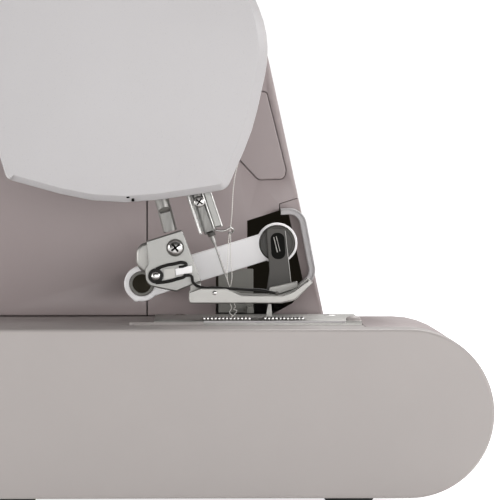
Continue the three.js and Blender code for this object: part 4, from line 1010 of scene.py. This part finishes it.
def make_knife_arm():
    length = ARM_REACH.length
    web = [(*arm_point(3, 5.8), 0), (*arm_point(length, 5.9), 0), (*arm_point(length, -5.9), 0),
           (*arm_point(16, -6.4), 1), (19.2, 84.4, 1.5), (23.6, 88.4, 3)]
    x0, x1 = ARM_LOW.x, ARM_HIGH.x
    body = plate_mesh(web, x0, x1, 0.5)
    for centre, radius in ((KNIFE_PIVOT, PIVOT_RADIUS), (KNIFE_HEAD, HEAD_RADIUS)):
        body = combined(body, plate_mesh(circle(*centre, radius, 72), x0, x1, 0.5), "UNION")
    for centre, radius in ((KNIFE_PIVOT, PIVOT_BORE), (KNIFE_HEAD, HEAD_BORE)):
        body = combined(body, plate_mesh(circle(*centre, radius, 72), x0 - 2, x1 + 2, 0.1))
    piece("knife_arm", body, "knife", "white_plastic", ["upper_knife_arm"], ARM_WHITE_LIT)
    collar = facing_left(lathe_mesh(COLLAR), x0 + 5.8, *KNIFE_PIVOT)
    piece("knife_pivot_collar", collar, "knife", "cast_metal")
    # a dark disc in the bore: painted shade
    bore = facing_left(lathe_mesh(BORE_FLOOR), x0 + 4, *KNIFE_PIVOT)
    piece("knife_pivot_bore_shade", bore, "knife", "black_plastic", look=INSIDE_SHADE)


def make_knob():
    disc = facing_left(lathe_mesh(KNOB, 72), ARM_LOW.x + 6.6, *KNIFE_HEAD)
    piece("knob_disc", disc, "knob", "dark_metal", ["knife_knob"])


def make_upper_knife():
    low, high = span("upper_knife")
    blade = plate_mesh(KNIFE_OUTLINE, low.x, high.x, 0.25)
    piece("knife_blade", blade, "knife", "dark_metal", ["upper_knife"])
    # a black patch on the blade: painted shade in the recess
    recess = plate_mesh(RECESS_SHADE, low.x - 0.12, low.x + 0.3, 0.1)
    piece("blade_recess_shade", recess, "knife", "black_plastic", look=CREVICE_SHADE)
    lines = [tube_mesh([(low.x - 0.2, *point) for point in points], radius)
             for points, radius in HIGHLIGHT_LINES]
    piece("blade_slot_highlights", joined(*lines), "knife", "steel")


# ---- dials and handwheel ----
RIDGE_STEPS = 6
NUMERAL_DEPTH = 0.12


def knurled(centre, radius, ridges, depth):
    """A round outline with shallow rounded ridges."""
    points = []
    for i in range(ridges * RIDGE_STEPS):
        turn = 2 * pi * i / (ridges * RIDGE_STEPS)
        reach = radius - depth * (0.5 - 0.5 * cos(ridges * turn)) ** 2
        points.append(Vector(centre) + reach * Vector((cos(turn), sin(turn))))
    return points


def numeral(number, size, place):
    """A plain generic numeral, moved from the XY plane to its place."""
    curve = bpy.data.curves.new("numeral", "FONT")
    curve.body = str(number)
    curve.size = size
    curve.extrude = NUMERAL_DEPTH
    curve.align_x = "CENTER"
    curve.align_y = "CENTER"
    mesh = welded(convert(curve))
    mesh.transform(place)
    return mesh


DIALS = range(1, 5)
DIAL_NUMERALS = 10
DIAL_RIM = 3.6  # the width of each knurled rim


def make_tension_dials():
    for n in DIALS:
        low, high = span(f"tension_dial_{n}")
        centre = pivot(f"tension_dial_{n}_turn")
        radius = (high.z - low.z) / 2
        rims = [plate_mesh(knurled(centre, radius, 44, 0.9), x, x + DIAL_RIM, 0.7, 2)
                for x in (low.x, high.x - DIAL_RIM)]
        drum = plate_mesh(circle(*centre, radius - 0.5, 96), low.x + 2.5, high.x - 2.5, 0.3, 2)
        piece(f"tension_wheel_{n}", joined(*rims, drum), f"dial_{n}", "white_plastic", [f"tension_dial_{n}"])
        middle = Matrix.Translation(((low.x + high.x) / 2, *centre))
        upright = Matrix.Translation((0, -radius + 0.45, 0)) @ Matrix.Rotation(pi / 2, 4, "X")
        turns = [Matrix.Rotation(2 * pi * i / DIAL_NUMERALS, 4, "X") for i in range(DIAL_NUMERALS)]
        marks = [numeral(i, 4.6, middle @ turn @ upright) for i, turn in enumerate(turns)]
        piece(f"tension_numerals_{n}", joined(*marks), f"dial_{n}", "black_plastic")


def on_fascia(x, z):
    """A frame on the fascia's surface: X to the right, Y up the slope and Z outward."""
    fascia = frame["nodes"]["front_fascia"]
    _, place, normal, _ = fascia.ray_cast(ROW @ Vector((x, -300, z)), Vector((0, 1, 0)))
    across = Vector((1, 0, 0))
    turn = Matrix((across, normal.cross(across), normal)).transposed().to_4x4()
    return Matrix.Translation(place) @ turn @ Matrix.Scale(MM, 4)


MARK_DEPTH = 0.15
TICK_STEP = 3
TICK_HALF = 0.25


def flat_mark(points, place):
    mesh = plate_mesh(points, -MARK_DEPTH, MARK_DEPTH, 0.03, 1)
    mesh.transform(place @ SIDE_ON.inverted())
    return mesh


def make_fascia_marks():
    marks = []
    for n in DIALS:
        right = span(f"tension_dial_{n}")[1].x
        place = on_fascia(right + 4.5, pivot(f"tension_dial_{n}_turn")[1])
        marks.append(flat_mark([(-2.2, 0), (1.4, -2), (1.4, 2)], place))
        for k in range(-2, 3):
            low, high = TICK_STEP * k - TICK_HALF, TICK_STEP * k + TICK_HALF
            end = 4.4 if k else 5.6
            marks.append(flat_mark([(2.4, low), (end, low), (end, high), (2.4, high)], place))
    piece("fascia_marks", joined(*marks), "machine", "dark_metal", matrix=Matrix())


SIDE_DIALS = {  # joint and body
    "stitch_length_dial": ("stitch_length_turn", "length_dial"),
    "differential_feed_dial": ("differential_feed_turn", "feed_dial"),
}
SIDE_WALL_X = 150
SIDE_NUMERALS = 5


def make_side_dials():
    for node, (joint, body) in SIDE_DIALS.items():
        low, high = span(node)
        y, z = pivot(joint)
        radius = (high.z - low.z) / 2
        skirt = [(0, 0), (radius - 0.3, 0), (radius, 0.3), (radius, 2.2), (radius - 0.5, 2.8), (0, 2.8)]
        grip = plate_mesh(knurled((y, z), radius - 1.2, 30, 1.1), low.x + 2, high.x - 0.8, 0.8)
        face = [(0, 0), (radius - 3.4, 0), (radius - 3.4, 0.5), (radius - 4.2, 0.8), (0, 0.6)]
        bar = block_mesh(high.x - 3, high.x, y - 2.0, y + 2.0, z - radius + 4, z + radius - 4, 0.7)
        knob = joined(facing_right(lathe_mesh(skirt, 96), low.x, y, z), grip,
                      facing_right(lathe_mesh(face, 72), high.x - 0.9, y, z), bar)
        piece(f"{node}_knob", knob, body, "white_plastic", [node])
        proud = high.x + 0.05
        line = block_mesh(high.x - 0.4, proud, y - 0.4, y + 0.4, z + 3, z + radius - 4.6, 0.05)
        tip = block_mesh(high.x - 0.5, proud, y - 0.8, y + 0.8, z + radius - 6.4, z + radius - 4.8, 0.05)
        piece(f"{node}_pointer", joined(line, tip), body, "black_plastic")
        marks = []
        for i in range(SIDE_NUMERALS):
            turn = radians(-60 + 30 * i)
            reach = radius + 5
            place = (SIDE_WALL_X, y + reach * sin(turn), z + reach * cos(turn))
            marks.append(numeral(i, 5.2, Matrix.Translation(place) @ SIDE_ON))
        piece(f"{node}_numerals", joined(*marks), "machine", "black_plastic")


GROOVES = (4.6, 7.4, 10.2)
HUB = [(15, 11.2), (13.4, 12), (12.8, 15), (11.6, 16.4), (9, 16.9), (0, 17)]


def make_handwheel():
    low, high = span("handwheel")
    centre = pivot("main_shaft_spin")
    radius = (high.z - low.z) / 2
    profile = [(0, 0), (radius - 8, 0), (radius - 1.5, 0.8), (radius, 2.6)]
    for groove in GROOVES:
        profile += [(radius, groove - 0.5), (radius - 0.8, groove), (radius - 0.8, groove + 0.6),
                    (radius, groove + 1.1)]
    profile += [(radius, 13.6), (radius - 1, 16.6), (radius - 3.4, 18), (radius - 6.4, 17.2),
                (radius - 8.6, 13.4), (radius - 12, 11.6), *HUB]
    piece("handwheel_rim", facing_right(lathe_mesh(profile, 96), low.x, *centre), "drive", "taupe_plastic",
          ["handwheel"])
    screw = facing_right(phillips_head(4.2, 1.0, 2.6), low.x + 16.95, *centre)
    piece("handwheel_screw", screw, "drive", "chrome")


# ---- screws, vents and the inlet's pins ----
FACING_DOWN = Matrix.Rotation(pi, 4, "X")
FACING_BACK = Matrix.Rotation(-pi / 2, 4, "X")
BOTTOM_SCREWS_X, BOTTOM_SCREWS_Y = (-130, 0, 130), (-48, 48)
PLATE_SCREWS = [(-84, -66), (-84, 0)]


def screw_at(place, radius, turn):
    """A pan-head screw whose head stands on a surface, turned from facing up."""
    head = joined(phillips_head(radius, radius * 0.42, radius * 0.62),
                  cross_floor(radius, radius * 0.36, radius * 0.6))
    head.transform(Matrix.Translation(place) @ turn)
    return head


def make_screws():
    bottom = span("bottom_plate")[0].z + 0.2
    under = [screw_at((x, y, bottom), 3.2, FACING_DOWN) for x in BOTTOM_SCREWS_X for y in BOTTOM_SCREWS_Y]
    piece("bottom_screws", joined(*under), "machine", "chrome")
    low, high = span("rear_cover")
    behind = [screw_at((x, high.y - 0.4, z), 3.4, FACING_BACK)
              for x in (low.x + 14, high.x - 14) for z in (low.z + 16, high.z - 34)]
    piece("rear_screws", joined(*behind), "machine", "dark_metal")
    flush = [screw_at((x, y, PLATE_HIGH.z - 0.9), 3.4, Matrix()) for x, y in PLATE_SCREWS]
    piece("plate_screws", joined(*flush), "machine", "chrome")


VENTS = 8
VENT_BOTTOM = 186
VENT_PITCH = 6.5
VENT_HEIGHT = 2.4
VENT_ENDS = (84, 128)
PIN = [(0, 0), (1.5, 0), (1.5, 7.4), (1.1, 8.2), (0, 8.4)]
PIN_INSET = 10  # from the inlet's sides


def make_vents():
    back = span("rear_cover")[1].y
    bottoms = [VENT_BOTTOM + VENT_PITCH * i for i in range(VENTS)]
    # near-black blocks on the cover stand for the vent slots: painted shade
    slots = [block_mesh(*VENT_ENDS, back - 1.2, back + 0.05, z, z + VENT_HEIGHT, 0.5) for z in bottoms]
    piece("rear_vent_shades", joined(*slots), "machine", "black_plastic", look=CREVICE_SHADE)


def make_inlet_pins():
    low, high = span("power_inlet")
    pins = [facing_right(lathe_mesh(PIN, 24), low.x + 2, y, (low.z + high.z) / 2)
            for y in (low.y + PIN_INSET, high.y - PIN_INSET)]
    piece("inlet_pins", joined(*pins), "machine", "chrome")


# ---- build ----
dress_cad_nodes()
bpy.context.scene.view_settings.view_transform = "Standard"
make_world()
make_camera()
make_floor()
make_lights()
make_bed_end()
make_head_cap()
make_opening_rim()
make_side_panel()
make_presser_bar()
make_ankle()
make_foot()
make_needle_clamp()
make_needles()
make_threads()
make_feed_dogs()
make_plate_details()
make_lower_knife()
make_knife_arm()
make_knob()
make_upper_knife()
make_tension_dials()
make_fascia_marks()
make_side_dials()
make_handwheel()
make_screws()
make_vents()
make_inlet_pins()
